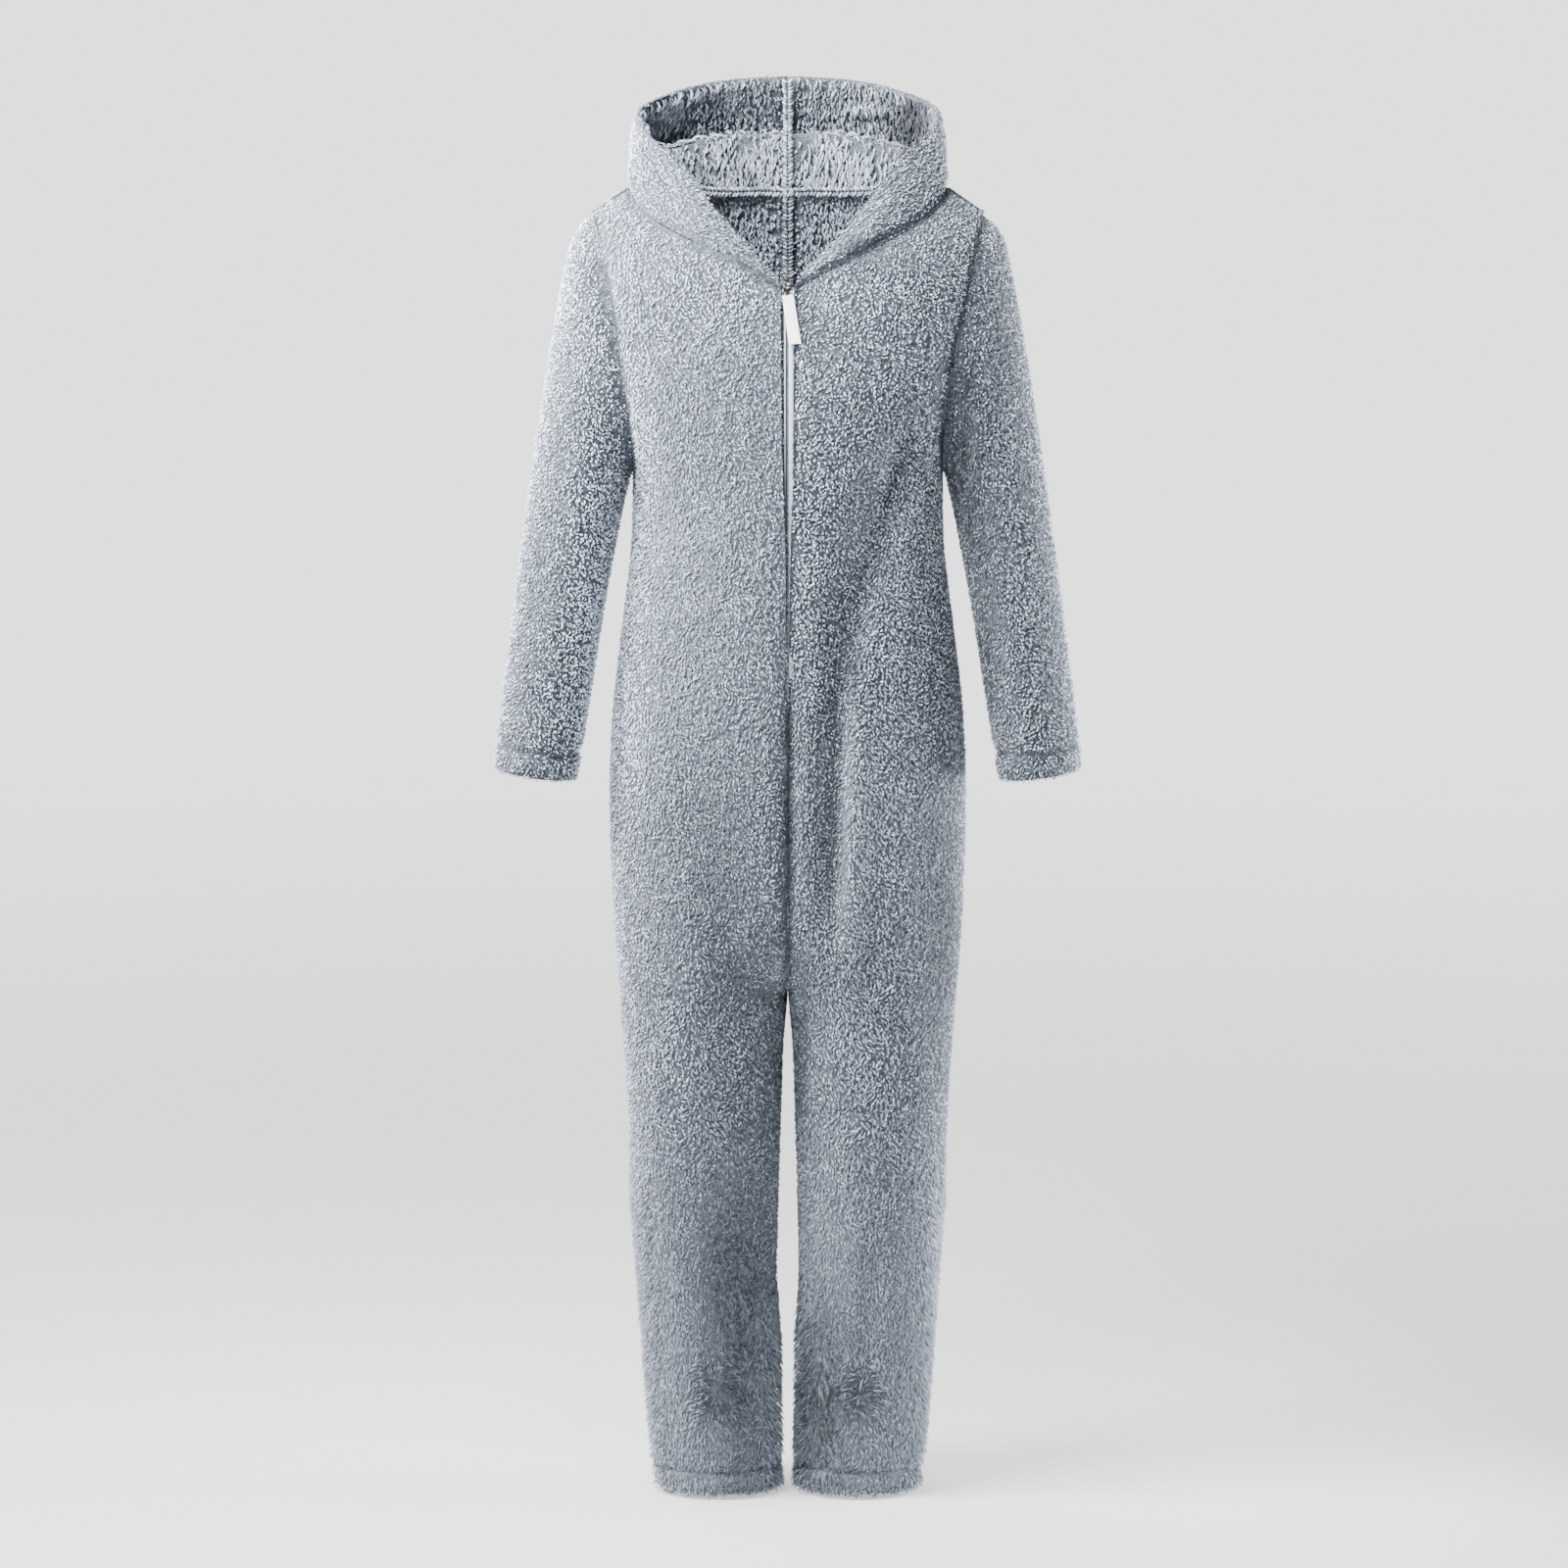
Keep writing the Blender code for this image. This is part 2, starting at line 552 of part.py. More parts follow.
def prism(name, outline, low, high):
    """A mesh from an outline of (x, z) points, between two values of y."""
    shape = bmesh.new()
    base = shape.faces.new([shape.verts.new((x, low, z)) for x, z in outline])
    grown = bmesh.ops.extrude_face_region(shape, geom=[base])["geom"]
    moved = [item for item in grown if isinstance(item, bmesh.types.BMVert)]
    bmesh.ops.translate(shape, verts=moved, vec=(0, high - low, 0))
    bmesh.ops.recalc_face_normals(shape, faces=shape.faces)
    mesh = bpy.data.meshes.new(name)
    shape.to_mesh(mesh)
    shape.free()
    return mesh


def build_slider(place, tilt):
    """The slider's front plate with its bail, the arch that holds the pull's link."""
    middle = SLIDER["down"][-1] / 2
    right = [(half, middle - down) for down, half in zip(SLIDER["down"], SLIDER["half"])]
    outline = right + [(-x, z) for x, z in reversed(right)]
    back = WALL + TAPE_GAP - SEAM_GAP
    front = back - SLIDER_THICK
    slider = add_object("zip_slider", prism("zip_slider", outline, front, back), "metal")
    bevel = slider.modifiers.new("bevel", "BEVEL")
    bevel.width = SLIDER_BEVEL
    bevel.segments = 2

    arches = []
    for thick in (BAIL_THICK, 0.0):
        reach = BAIL_LONG / 2 - BAIL_THICK + thick
        rise = BAIL_OPEN + thick
        arch = [(math.sin(t) * rise, math.cos(t) * reach) for t in np.linspace(0, math.pi, BEND)]
        arches.append([(-SLIDER_BEVEL, reach), *arch, (-SLIDER_BEVEL, -reach)])
    ring = arches[0] + arches[1][::-1]
    bail = bpy.data.objects.new("bail_shape", prism("bail_shape", ring, 0, BAIL_WIDE))
    bpy.context.scene.collection.objects.link(bail)
    # The prism's x is how far the bail stands out, and its y is the bail's width.
    for vertex in bail.data.vertices:
        out, across, along = vertex.co
        vertex.co = (across - BAIL_WIDE / 2, front - out, along)
    bail.hide_render = True
    bail.display_type = "WIRE"
    bail.parent = slider
    join = slider.modifiers.new("bail", "BOOLEAN")
    join.operation = "UNION"
    join.object = bail
    slider.location = place
    slider.rotation_euler = (tilt, 0, 0)
    hinge = (0, front - BAIL_OPEN / 2, 0)
    return slider, hinge


def build_pull(slider, hinge):
    """The link and the folded tab, both parented to an empty on the hinge's axis."""
    pivot = bpy.data.objects.new("pull_pivot", None)
    bpy.context.scene.collection.objects.link(pivot)
    pivot.parent = slider
    pivot.location = hinge
    bar_y = -TAB_OUT - hinge[1]
    bar_z = -math.sqrt(LINK_LONG**2 - bar_y**2)

    turn = np.linspace(0, 2 * math.pi, LINK_POINTS, endpoint=False)
    down = (1 - power(np.sin(turn), LINK_SQUARE)) / 2
    wide = LINK_TOP_WIDE + (LINK_WIDE - LINK_TOP_WIDE) * down
    x = wide / 2 * power(np.cos(turn), LINK_SQUARE)
    curve = bpy.data.curves.new("pull_link", "CURVE")
    curve.dimensions = "3D"
    curve.bevel_depth = LINK_WIRE
    curve.bevel_resolution = 2
    spline = curve.splines.new("POLY")
    spline.points.add(LINK_POINTS - 1)
    spline.use_cyclic_u = True
    for point, across, share in zip(spline.points, x, down):
        point.co = (across, share * bar_y, share * bar_z, 1)
    link = add_object("pull_link", curve, "metal")
    link.parent = pivot

    layer = TAB_SLIT + TAB_THICK / 2
    round_bar = LINK_WIRE + TAB_CLEAR + TAB_THICK / 2
    path = [(layer, -TAB_BACK_LONG), (layer, -TAB_NECK)]
    for t in np.linspace(0, math.pi, BEND):
        path.append((round_bar * math.cos(t), round_bar * math.sin(t)))
    path += [(-layer, -TAB_NECK), (-layer, -TAB_LONG)]
    path = np.array(path)
    way = np.gradient(path, axis=0)
    way /= np.linalg.norm(way, axis=1, keepdims=True)
    share = -path[:, 1] / TAB_LONG
    half = (TAB_TOP_WIDE + (TAB_END_WIDE - TAB_TOP_WIDE) * share) / 2
    lean = -path[:, 1] * math.tan(TAB_LEAN)
    strap = []
    for offset in (TAB_THICK / 2, -TAB_THICK / 2):
        y = bar_y + path[:, 0] + way[:, 1] * offset
        z = bar_z + path[:, 1] - way[:, 0] * offset
        edges = [np.stack([lean + side * half, y, z], axis=1) for side in (-1, 1)]
        strap.append(np.stack(edges, axis=1))
    add_wall("pull_tab", *strap, "pull").parent = pivot


def build_zip(walls):
    """Tapes behind both front edges, and the slider and pull at the zip's top."""
    build_tape("zip_tape_right", *(grid[:, ::-1] for grid in walls["front_right"]))
    first, second = build_tape("zip_tape_left", *walls["front_left"])
    way = (second - first) / np.linalg.norm(second - first)
    out = np.array([0.0, way[2], -way[1]])
    middle_down = SLIDER_TOP + SLIDER["down"][-1] / 2
    place = first + way * (-middle_down - first[2]) / way[2] + out * (WALL + TAPE_GAP)
    tilt = math.atan2(way[1], -way[2])
    slider, hinge = build_slider((0, place[1], place[2]), tilt)
    build_pull(slider, hinge)


for item in list(bpy.data.objects):
    bpy.data.objects.remove(item, do_unlink=True)
build_zip(build_cloth())
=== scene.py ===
from math import cos, pi, radians, sin

import bmesh
import bpy
import numpy as np
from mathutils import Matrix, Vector
from mathutils.bvhtree import BVHTree
from mathutils.kdtree import KDTree


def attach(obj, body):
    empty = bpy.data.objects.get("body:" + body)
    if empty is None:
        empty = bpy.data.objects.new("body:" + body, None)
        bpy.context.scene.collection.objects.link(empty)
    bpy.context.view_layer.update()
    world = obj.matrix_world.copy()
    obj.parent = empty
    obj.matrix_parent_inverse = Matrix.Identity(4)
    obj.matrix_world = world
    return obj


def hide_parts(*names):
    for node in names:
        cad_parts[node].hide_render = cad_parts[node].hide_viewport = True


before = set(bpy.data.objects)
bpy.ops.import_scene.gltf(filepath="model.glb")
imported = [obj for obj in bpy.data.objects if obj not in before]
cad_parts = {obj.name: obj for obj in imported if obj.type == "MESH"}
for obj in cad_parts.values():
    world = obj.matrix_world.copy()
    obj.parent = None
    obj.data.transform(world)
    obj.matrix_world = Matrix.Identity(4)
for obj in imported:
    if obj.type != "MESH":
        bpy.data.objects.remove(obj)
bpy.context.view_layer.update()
print("frame loaded")

stageSettings = {
    "aim": (-0.0044, 0.0, -0.645),
    "distance": 14.0,
    "elevation": 9.0,  # degrees
    "lens": 289.0,
    "floorHeight": -1.447,
    "floorSize": 160.0,
    "floorColour": (0.46, 0.465, 0.475, 1.0),
    "floorGlow": 1.7,
    "floorFar": 2.3,  # how much brighter the floor is far away
    "floorFade": (1.6, 6.0),  # metres between which it brightens
    "worldColour": (0.90, 0.95, 1.0, 1.0),
    "worldStrength": 0.30,
    "lit": (0.0, -0.10, -0.20),  # what the softboxes face
    "lamps": {  # kind, strength, width in metres or degrees, where it comes from
        "keyLight": ("AREA", 130.0, 0.6, (-1.35, -0.45, 0.35)),
        "frontLight": ("AREA", 32.0, 0.7, (-0.90, -1.00, 0.70)),
        "topLight": ("AREA", 72.0, 0.5, (-0.45, -0.75, 1.05)),
        "rimLight": ("AREA", 52.0, 0.6, (1.2, 0.10, -0.60)),
        "backLight": ("SUN", 2.5, 50, (-0.30, 0.55, 1.0)),
    },
}


def placed(name, data):  # an object in the scene
    piece = bpy.data.objects.new(name, data)
    bpy.context.scene.collection.objects.link(piece)
    return piece


def makeStage(s):
    tilt = radians(s["elevation"])
    camera = placed("camera", bpy.data.cameras.new("camera"))
    camera.data.lens = s["lens"]
    camera.data.sensor_width = 36
    camera.data.clip_end = 400
    camera.location = Vector(s["aim"]) + s["distance"] * Vector((0, -cos(tilt), sin(tilt)))
    camera.rotation_euler = (pi / 2 - tilt, 0, 0)
    bpy.context.scene.camera = camera

    for name, (kind, strength, width, source) in s["lamps"].items():
        lamp = placed(name, bpy.data.lights.new(name, kind))
        lamp.data.energy = strength
        lamp.rotation_mode = "QUATERNION"
        lamp.location = source
        away = Vector(source)
        if kind == "SUN":
            lamp.data.angle = radians(width)
        else:
            lamp.data.size = width
            away -= Vector(s["lit"])
        lamp.rotation_quaternion = away.to_track_quat("Z", "Y")

    world = bpy.data.worlds.new("studio")
    world.use_nodes = True
    background = world.node_tree.nodes["Background"]
    background.inputs["Color"].default_value = s["worldColour"]
    background.inputs["Strength"].default_value = s["worldStrength"]
    bpy.context.scene.world = world

    half, height = s["floorSize"] / 2, s["floorHeight"]
    mesh = bpy.data.meshes.new("floor")
    mesh.from_pydata([(x, y, height) for x, y in
                      ((-half, -half), (half, -half), (half, half), (-half, half))],
                     [], [(0, 1, 2, 3)])
    floor = placed("floor", mesh)
    paper, board, shader = finish("floor paper", s["floorColour"][:3], 0.9,
                                  {"Emission Strength": s["floorGlow"]})
    near, bright = s["floorColour"], tuple(value * s["floorFar"] for value in s["floorColour"])
    away = board.add("ShaderNodeVectorMath", {"operation": "LENGTH"}, {0: board.place()}, 1)
    board.join(board.mixed(board.between(away, *s["floorFade"]), near, bright),
               shader.inputs["Emission Color"])
    mesh.materials.append(paper)


class Wire:  # takes part in sums, and each sum adds its Math node
    def __init__(self, board, socket):
        self.board = board
        self.socket = socket

    def output(self, name):  # another output of the same node
        return Wire(self.board, self.socket.node.outputs[name])

    def __add__(self, other):
        return self.board.maths("ADD", self, other)

    def __sub__(self, other):
        return self.board.maths("SUBTRACT", self, other)

    def __rsub__(self, other):
        return self.board.maths("SUBTRACT", other, self)

    def __mul__(self, other):
        return self.board.maths("MULTIPLY", self, other)

    def __truediv__(self, other):
        return self.board.maths("DIVIDE", self, other)

    def __rtruediv__(self, other):
        return self.board.maths("DIVIDE", other, self)

    __radd__ = __add__
    __rmul__ = __mul__


class Board:
    def __init__(self, tree):
        self.tree = tree

    def add(self, kind, settings=None, sockets=None, output=0):
        node = self.tree.nodes.new(kind)
        for name, value in (settings or {}).items():
            setattr(node, name, value)
        for name, value in (sockets or {}).items():
            self.join(value, node.inputs[name])
        return Wire(self, node.outputs[output])

    def join(self, value, socket):
        if isinstance(value, Wire):
            self.tree.links.new(value.socket, socket)
        else:
            socket.default_value = value

    def maths(self, operation, *values):
        return self.add("ShaderNodeMath", {"operation": operation}, dict(enumerate(values)))

    def vectors(self, operation, *values):
        return self.add("ShaderNodeVectorMath", {"operation": operation}, dict(enumerate(values)))

    def xyz(self, *values):
        return self.add("ShaderNodeCombineXYZ", None, dict(enumerate(values)))

    def between(self, value, low, high, first=0.0, last=1.0):  # a clamped, soft change of range
        return self.add("ShaderNodeMapRange", {"interpolation_type": "SMOOTHSTEP"},
                        {"Value": value, "From Min": low, "From Max": high,
                         "To Min": first, "To Max": last})

    def mixed(self, factor, first, second, blend="MIX"):
        return self.add("ShaderNodeMix", {"data_type": "RGBA", "blend_type": blend},
                        {0: factor, 6: first, 7: second}, 2)

    def place(self):
        return self.add("ShaderNodeTexCoord", output="Object")

    def stored(self, name):  # a number that the mesh carries
        return self.add("ShaderNodeAttribute", {"attribute_name": name}, output="Fac")

    def noise(self, scale, detail, roughness, distortion=0.0):
        return self.add("ShaderNodeTexNoise", None, {
            "Vector": self.place(), "Scale": scale, "Detail": detail, "Roughness": roughness,
            "Distortion": distortion})

    def bump(self, shader, strength, distance, height):
        bent = self.add("ShaderNodeBump", None,
                        {"Strength": strength, "Distance": distance, "Height": height})
        self.join(bent, shader.inputs["Normal"])


def finish(name, colour, roughness, constants=None):
    material = bpy.data.materials.new(name)
    material.use_nodes = True
    shader = material.node_tree.nodes["Principled BSDF"]
    shader.inputs["Base Color"].default_value = (*colour, 1.0)
    shader.inputs["Roughness"].default_value = roughness
    for socket, value in (constants or {}).items():
        shader.inputs[socket].default_value = value
    return material, Board(material.node_tree), shader


makeStage(stageSettings)
print("camera, floor and lights")

plushSettings = {
    # root and softRoot are painted shade at the grains' roots, where the gaps between grains lie
    # in shade; pale goes on grains of high random tone, rising towards the tip as that shade runs
    # out
    "root": (0.018, 0.023, 0.032, 1.0),
    "tip": (0.36, 0.407, 0.485, 1.0),
    "pale": (0.67, 0.71, 0.80, 1.0),
    "softRoot": (0.13, 0.152, 0.185, 1.0),  # the roots' painted shade, paler where the pile is long and combed out
    "roughness": 0.92,
    "rootShadeShare": 0.85,  # share of a grain over which its root's painted shade runs out
    "paleTones": (0.45, 1.0),
    "toneSpread": 0.55,
    "evenTones": 0.6,  # share by which the tones even out where the pile is combed
    "patchSize": 0.30,  # metres across a patch where the pile lies another way
    "patchSpread": 0.10,
    "darkest": 0.12,
    "sheen": {"Sheen Weight": 0.22, "Sheen Roughness": 0.45,
              "Sheen Tint": (0.86, 0.92, 1.0, 1.0), "Specular IOR Level": 0.25},
}


def pileFinish(name, s, brightness=1.0):
    material, board, shader = finish(name, s["tip"][:3], s["roughness"], s["sheen"])
    along, tone, paintedLight, soft = map(board.stored, ("along", "tone", "paintedLight", "soft"))
    patch = board.noise(1 / s["patchSize"], 3.0, 0.55)
    # painted shade at each grain's root, running out towards its tip
    shade = board.between(along, 0.0, s["rootShadeShare"])
    crisp = 1 - soft * s["evenTones"]
    colour = board.mixed(shade, board.mixed(soft, s["root"], s["softRoot"]), s["tip"])
    colour = board.mixed(board.between(tone, *s["paleTones"]) * shade * crisp, colour, s["pale"])
    # the tone takes in the painted light and shade of the patches, seams and hems
    light = (brightness * (1 - s["toneSpread"] / 2)
             + tone * (s["toneSpread"] * brightness) * crisp
             + (patch - 0.5) * s["patchSpread"] * 2 + paintedLight)
    light = board.maths("MAXIMUM", light, s["darkest"])
    grey = board.add("ShaderNodeCombineColor", None, {0: light, 1: light, 2: light})
    board.join(board.mixed(1.0, colour, grey, "MULTIPLY"), shader.inputs["Base Color"])
    return material


backingSettings = {
    # the backing shows only in the gaps between grains: its colours are painted shade, darker in
    # its curls' hollows, paler where the pile is combed out
    "deep": (0.016, 0.021, 0.029, 1.0),
    "raised": (0.085, 0.102, 0.125, 1.0),
    "softDeep": (0.105, 0.124, 0.152, 1.0),
    "softRaised": (0.21, 0.245, 0.29, 1.0),
    "roughness": 0.95,
    "curlSize": 0.0030,
    "curlTwist": 1.6,
    "curlEdges": (0.34, 0.66),
    "curlBump": 0.0016,
    "bumpStrength": 0.8,
    "neckSoft": 0.75,  # inside the backs, over the height given next
    "neckHeights": (-0.26, 0.06),
    "hoodSoft": 0.30,  # at most
}


def backingFinish(name, s):
    material, board, shader = finish(name, s["raised"][:3], s["roughness"], plushSettings["sheen"])
    curls = board.noise(1 / s["curlSize"] / 2, 2.0, 0.6, s["curlTwist"])
    height, soft = board.between(curls, *s["curlEdges"]), board.stored("soft")
    # painted shade, darker in the hollows of the curls
    colour = board.mixed(height, board.mixed(soft, s["deep"], s["softDeep"]),
                         board.mixed(soft, s["raised"], s["softRaised"]))
    board.join(colour, shader.inputs["Base Color"])
    board.bump(shader, s["bumpStrength"], s["curlBump"], height)
    return material


pileMaterial = pileFinish("plush pile", plushSettings)
strandMaterial = pileFinish("long plush pile", plushSettings)
backingMaterial = backingFinish("shaded plush backing", backingSettings)
# darker overall, with a darker painted shade at each grain's root
seamMaterial = pileFinish("overlocked seam",
                          {**plushSettings, "root": (0.05, 0.06, 0.08, 1.0)}, 0.78)
print("plush finishes")

hemPlanes = [  # a point on each stitched line, and the way to the hem
    ((0.0, 0.0, -1.414), (0, 0, -1)),
    ((0.272, 0.0, -0.598), (0.12, 0, -0.99)),
    ((-0.272, 0.0, -0.598), (-0.12, 0, -0.99)),
]

clothSettings = {
    "weld": 0.00003,
    "joined": (radians(40), radians(75)),  # how far triangles may bend to join into wider faces
    "sharp": radians(45),
    "pileDepth": 0.0021,  # from the solid's face down to the backing
    "innerDepth": 0.0012,
    "seamReach": 0.006,
    "seamDip": 0.0016,
    "hemReach": 0.0032,
    "hemDip": 0.0024,
    "sewnWithin": 0.0007,  # a corner this near another piece is sewn to it
    "neckWithin": 0.0030,  # the same, between hood and back
    "rimWithin": 0.004,  # a rim this near a seam is closed by it
    "alike": (0.002, 0.010),  # both halves move alike from this x, over the next
    "flat": (0.6, 0.2),  # where the cloth faces front or back by this share, over the next
    "crotch": {"half": 0.07, "z": -0.875, "tall": 0.035, "fade": 0.03},
    "evenRounds": 60,  # smoothing of the twisted cloth round the crotch
    "crotchSlack": 0.006,  # how far the inner face stands back there
    "foldSlack": 0.35,  # and behind creases, as a share of their depth
    "creaseTurn": 0.7,  # a crease fades where the cloth turns away by more than this
    "creaseEnds": 0.3,  # and over this share at each end
    "levels": {"front_left": 2, "front_right": 2, "back_left": 1, "back_right": 1,
               "sleeve_left": 1, "sleeve_right": 1, "hood_left": 2, "hood_right": 2},
}

# soft creases by piece, in mm: side (-1 front, 1 back), from x, z to x, z, depth, half width
creases = {
    "back_left": [
        (1, 150, -340, 30, -365, 2.8, 11), (1, 145, -410, 45, -425, 2, 10),
        (1, 90, -1080, 84, -1310, 2.8, 15),
    ],
    "back_right": [(1, -160, -372, -40, -352, 2.6, 10), (1, -90, -1050, -80, -1300, 2.8, 15)],
    "front_left": [
        (-1, 2, -420, 2, -850, 7, 8), (-1, 150, -190, 54, -520, 13, 17),
        (-1, 58, -430, 45, -840, 11.5, 13), (-1, 83, -480, 68, -900, -5.5, 13),
        (-1, 28, -340, 22, -620, -3, 12), (-1, 150, -560, 120, -640, 2, 12),
        (-1, 190, -100, 170, -320, 7, 14), (-1, 85, -1120, 88, -1340, 3, 14),
    ],
    "front_right": [
        (-1, -165, -352, -60, -338, 3, 10), (-1, -168, -378, -80, -372, 2.4, 8),
        (-1, -150, -425, -50, -418, 2, 9), (-1, -120, -300, -40, -330, 1.8, 10),
        (-1, -155, -640, -90, -700, 2.2, 12), (-1, 2, -420, 2, -850, 7, 8),
        (-1, -75, -1090, -85, -1330, 3, 14),
    ],
    "hood_left": [(1, 50, 89, 121, 97, 4, 5)],
    "hood_right": [(-1, -168, 80, -118, 10, 5, 5)],
    "sleeve_left": [
        (-1, 203, -130, 178, -350, 6, 14), (-1, 232, -140, 205, -420, 4, 12),
        (-1, 292, -430, 226, -395, 2.2, 10), (1, 300, -380, 236, -350, 2.4, 10),
    ],
    "sleeve_right": [(-1, -290, -365, -232, -335, 2.2, 10), (1, -300, -470, -240, -430, 2.4, 10)],
}

# painted light and shade on the pile: lighter or darker patches, a few also where the pile lies
# another way, by the start of a pile's name: side (0 both), x, z, half width and half height in
# mm, tone
paintedLightPatches = {
    "back_left_inner": [(0, 20, -80, 80, 120, 0.65)],
    "back_right_inner": [(0, -20, -80, 80, 120, 0.5)],
    "front_left": [
        (-1, 160, -1130, 22, 130, 0.3), (-1, 81, -1325, 22, 30, -0.55),
        (-1, 80, -970, 70, 60, 0.18), (-1, 85, -100, 30, 45, 0.28), (-1, 14, -190, 8, 60, 0.45),
        (-1, 62, -510, 20, 60, -0.38), (-1, 40, -640, 14, 60, -0.3), (-1, 50, -85, 60, 50, 0.38),
        (-1, 103, -560, 30, 260, 0.4), (-1, 165, -300, 16, 130, 0.35),
        (-1, 172, -810, 26, 170, -0.55), (-1, 94, -375, 18, 50, -0.28),
        (-1, 66, -465, 14, 60, -0.3), (-1, 49, -660, 10, 160, -0.3), (-1, 74, -45, 26, 15, -0.85),
        (0, 1, -650, 5, 220, -0.45), (0, 21, -120, 6, 24, -0.45), (-1, 28, -360, 22, 140, 0.48),
        (-1, 45, -880, 30, 100, 0.22), (-1, 14, -970, 16, 80, -0.45),
        (-1, 40, -1340, 30, 130, -0.85),
    ],
    "front_right": [
        (-1, -81, -1325, 22, 30, -0.5), (-1, -74, -1150, 52, 120, -0.38),
        (-1, -80, -75, 110, 55, 0.55), (-1, -178, -280, 28, 240, 0.66),
        (-1, -178, -590, 18, 110, 0.55), (-1, -135, -930, 22, 80, 0.32),
        (0, -3, -650, 6, 220, -0.55), (-1, -76, -740, 34, 120, -0.52),
        (-1, -12, -970, 20, 80, -0.5), (-1, -55, -1280, 36, 180, -0.62),
    ],
    "hood_left_inner": [(0, 139, 90, 28, 48, -1.05), (0, 40, 100, 30, 18, -0.3)],
    "hood_left_pile": [(0, 76, -30, 32, 12, -0.75), (0, 141, 95, 12, 32, -0.75)],
    "hood_right_inner": [(0, -152, 62, 20, 34, -0.45)],
    "hood_right_pile": [(0, -178, 32, 36, 52, 0.5)],
    "sleeve_left": [
        (0, 199, -270, 16, 160, -0.8), (0, 221, -480, 15, 160, -0.62),
        (-1, 228, -150, 16, 90, -0.28),
    ],
    "sleeve_right": [
        (-1, -205, -80, 36, 90, 0.38), (-1, -254, -560, 18, 50, 0.4),
        (-1, -210, -330, 22, 220, 0.45), (-1, -228, -500, 24, 210, 0.8),
    ],
}

clothNames = list(clothSettings["levels"])
outerSide, innerSide, rimSide = 0, 1, 2


def nearest(tree, points):
    return np.array([tree.find(point)[2] for point in points])


def readRows(items, key, width=3, kind=float):
    rows = np.empty(len(items) * width, kind)
    items.foreach_get(key, rows)
    return rows.reshape(-1, width)


def neighbourSum(rows, edges):
    total = np.zeros_like(rows)
    np.add.at(total, edges[:, 0], rows[edges[:, 1]])
    np.add.at(total, edges[:, 1], rows[edges[:, 0]])
    return total


def unit(rows):
    return rows / np.maximum(np.linalg.norm(rows, axis=1, keepdims=True), 1e-12)


def onRim(data):
    rim = np.zeros(len(data.vertices), bool)
    for face in data.polygons:
        if face.material_index == rimSide:
            rim[list(face.vertices)] = True
    return rim


def hemsOf(name):  # the stitched lines of one piece
    side = 1 if name.endswith("left") else -1
    return [(point, way) for point, way in hemPlanes if not name.startswith("hood")
            and (point[0] != 0) == name.startswith("sleeve") and point[0] * side >= 0]


def planeCut(mesh, point, way, within):  # new edges where a plane crosses the cloth
    parts = list(mesh.verts) + list(mesh.edges) + list(mesh.faces)
    bmesh.ops.bisect_plane(mesh, geom=parts, dist=within, plane_co=point, plane_no=way)


def pointTree(points):
    tree = KDTree(len(points))
    for index, point in enumerate(points):
        tree.insert(point, index)
    tree.balance()
    return tree


def faceTree(data):
    return BVHTree.FromPolygons([vertex.co for vertex in data.vertices],
                                [face.vertices for face in data.polygons])


solidTrees = {name: faceTree(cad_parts[name].data) for name in clothNames}
seamTrees = {}
seamEdges = {}  # by piece, partner and side: two points and the cloth's normal for each edge


def sewnTo(name, point):  # the other pieces of cloth that are sewn on at a point
    near = set()
    for other in clothNames:
        atNeck = {name[:4], other[:4]} == {"hood", "back"}
        within = clothSettings["neckWithin" if atNeck else "sewnWithin"]
        if other != name and solidTrees[other].find_nearest(point)[3] < within:
            near.add(other)
    return near


def smoothStep(value):
    value = np.clip(value, 0.0, 1.0)
    return value * value * (3 - 2 * value)


def limbCentre(name, points):  # the axis that each point's wall goes round
    centre = points.copy()
    if name.startswith("hood"):
        centre[:] = (0.0, 0.03, 0.05)
        return centre
    side = 1.0 if name.endswith("left") else -1.0
    leg = smoothStep((-0.78 - points[:, 2]) / 0.16)  # two legs from the crotch down
    centre[:, 0] = side * (0.088 * leg + 0.03 * (1 - leg))
    centre[:, 1] = 0.0
    if name.startswith("sleeve"):
        down = np.clip(-points[:, 2] / 0.62, 0, 1)
        centre[:, 0] = side * (0.195 + 0.085 * down)
        centre[:, 1] = -0.037 * down ** 2
    return centre


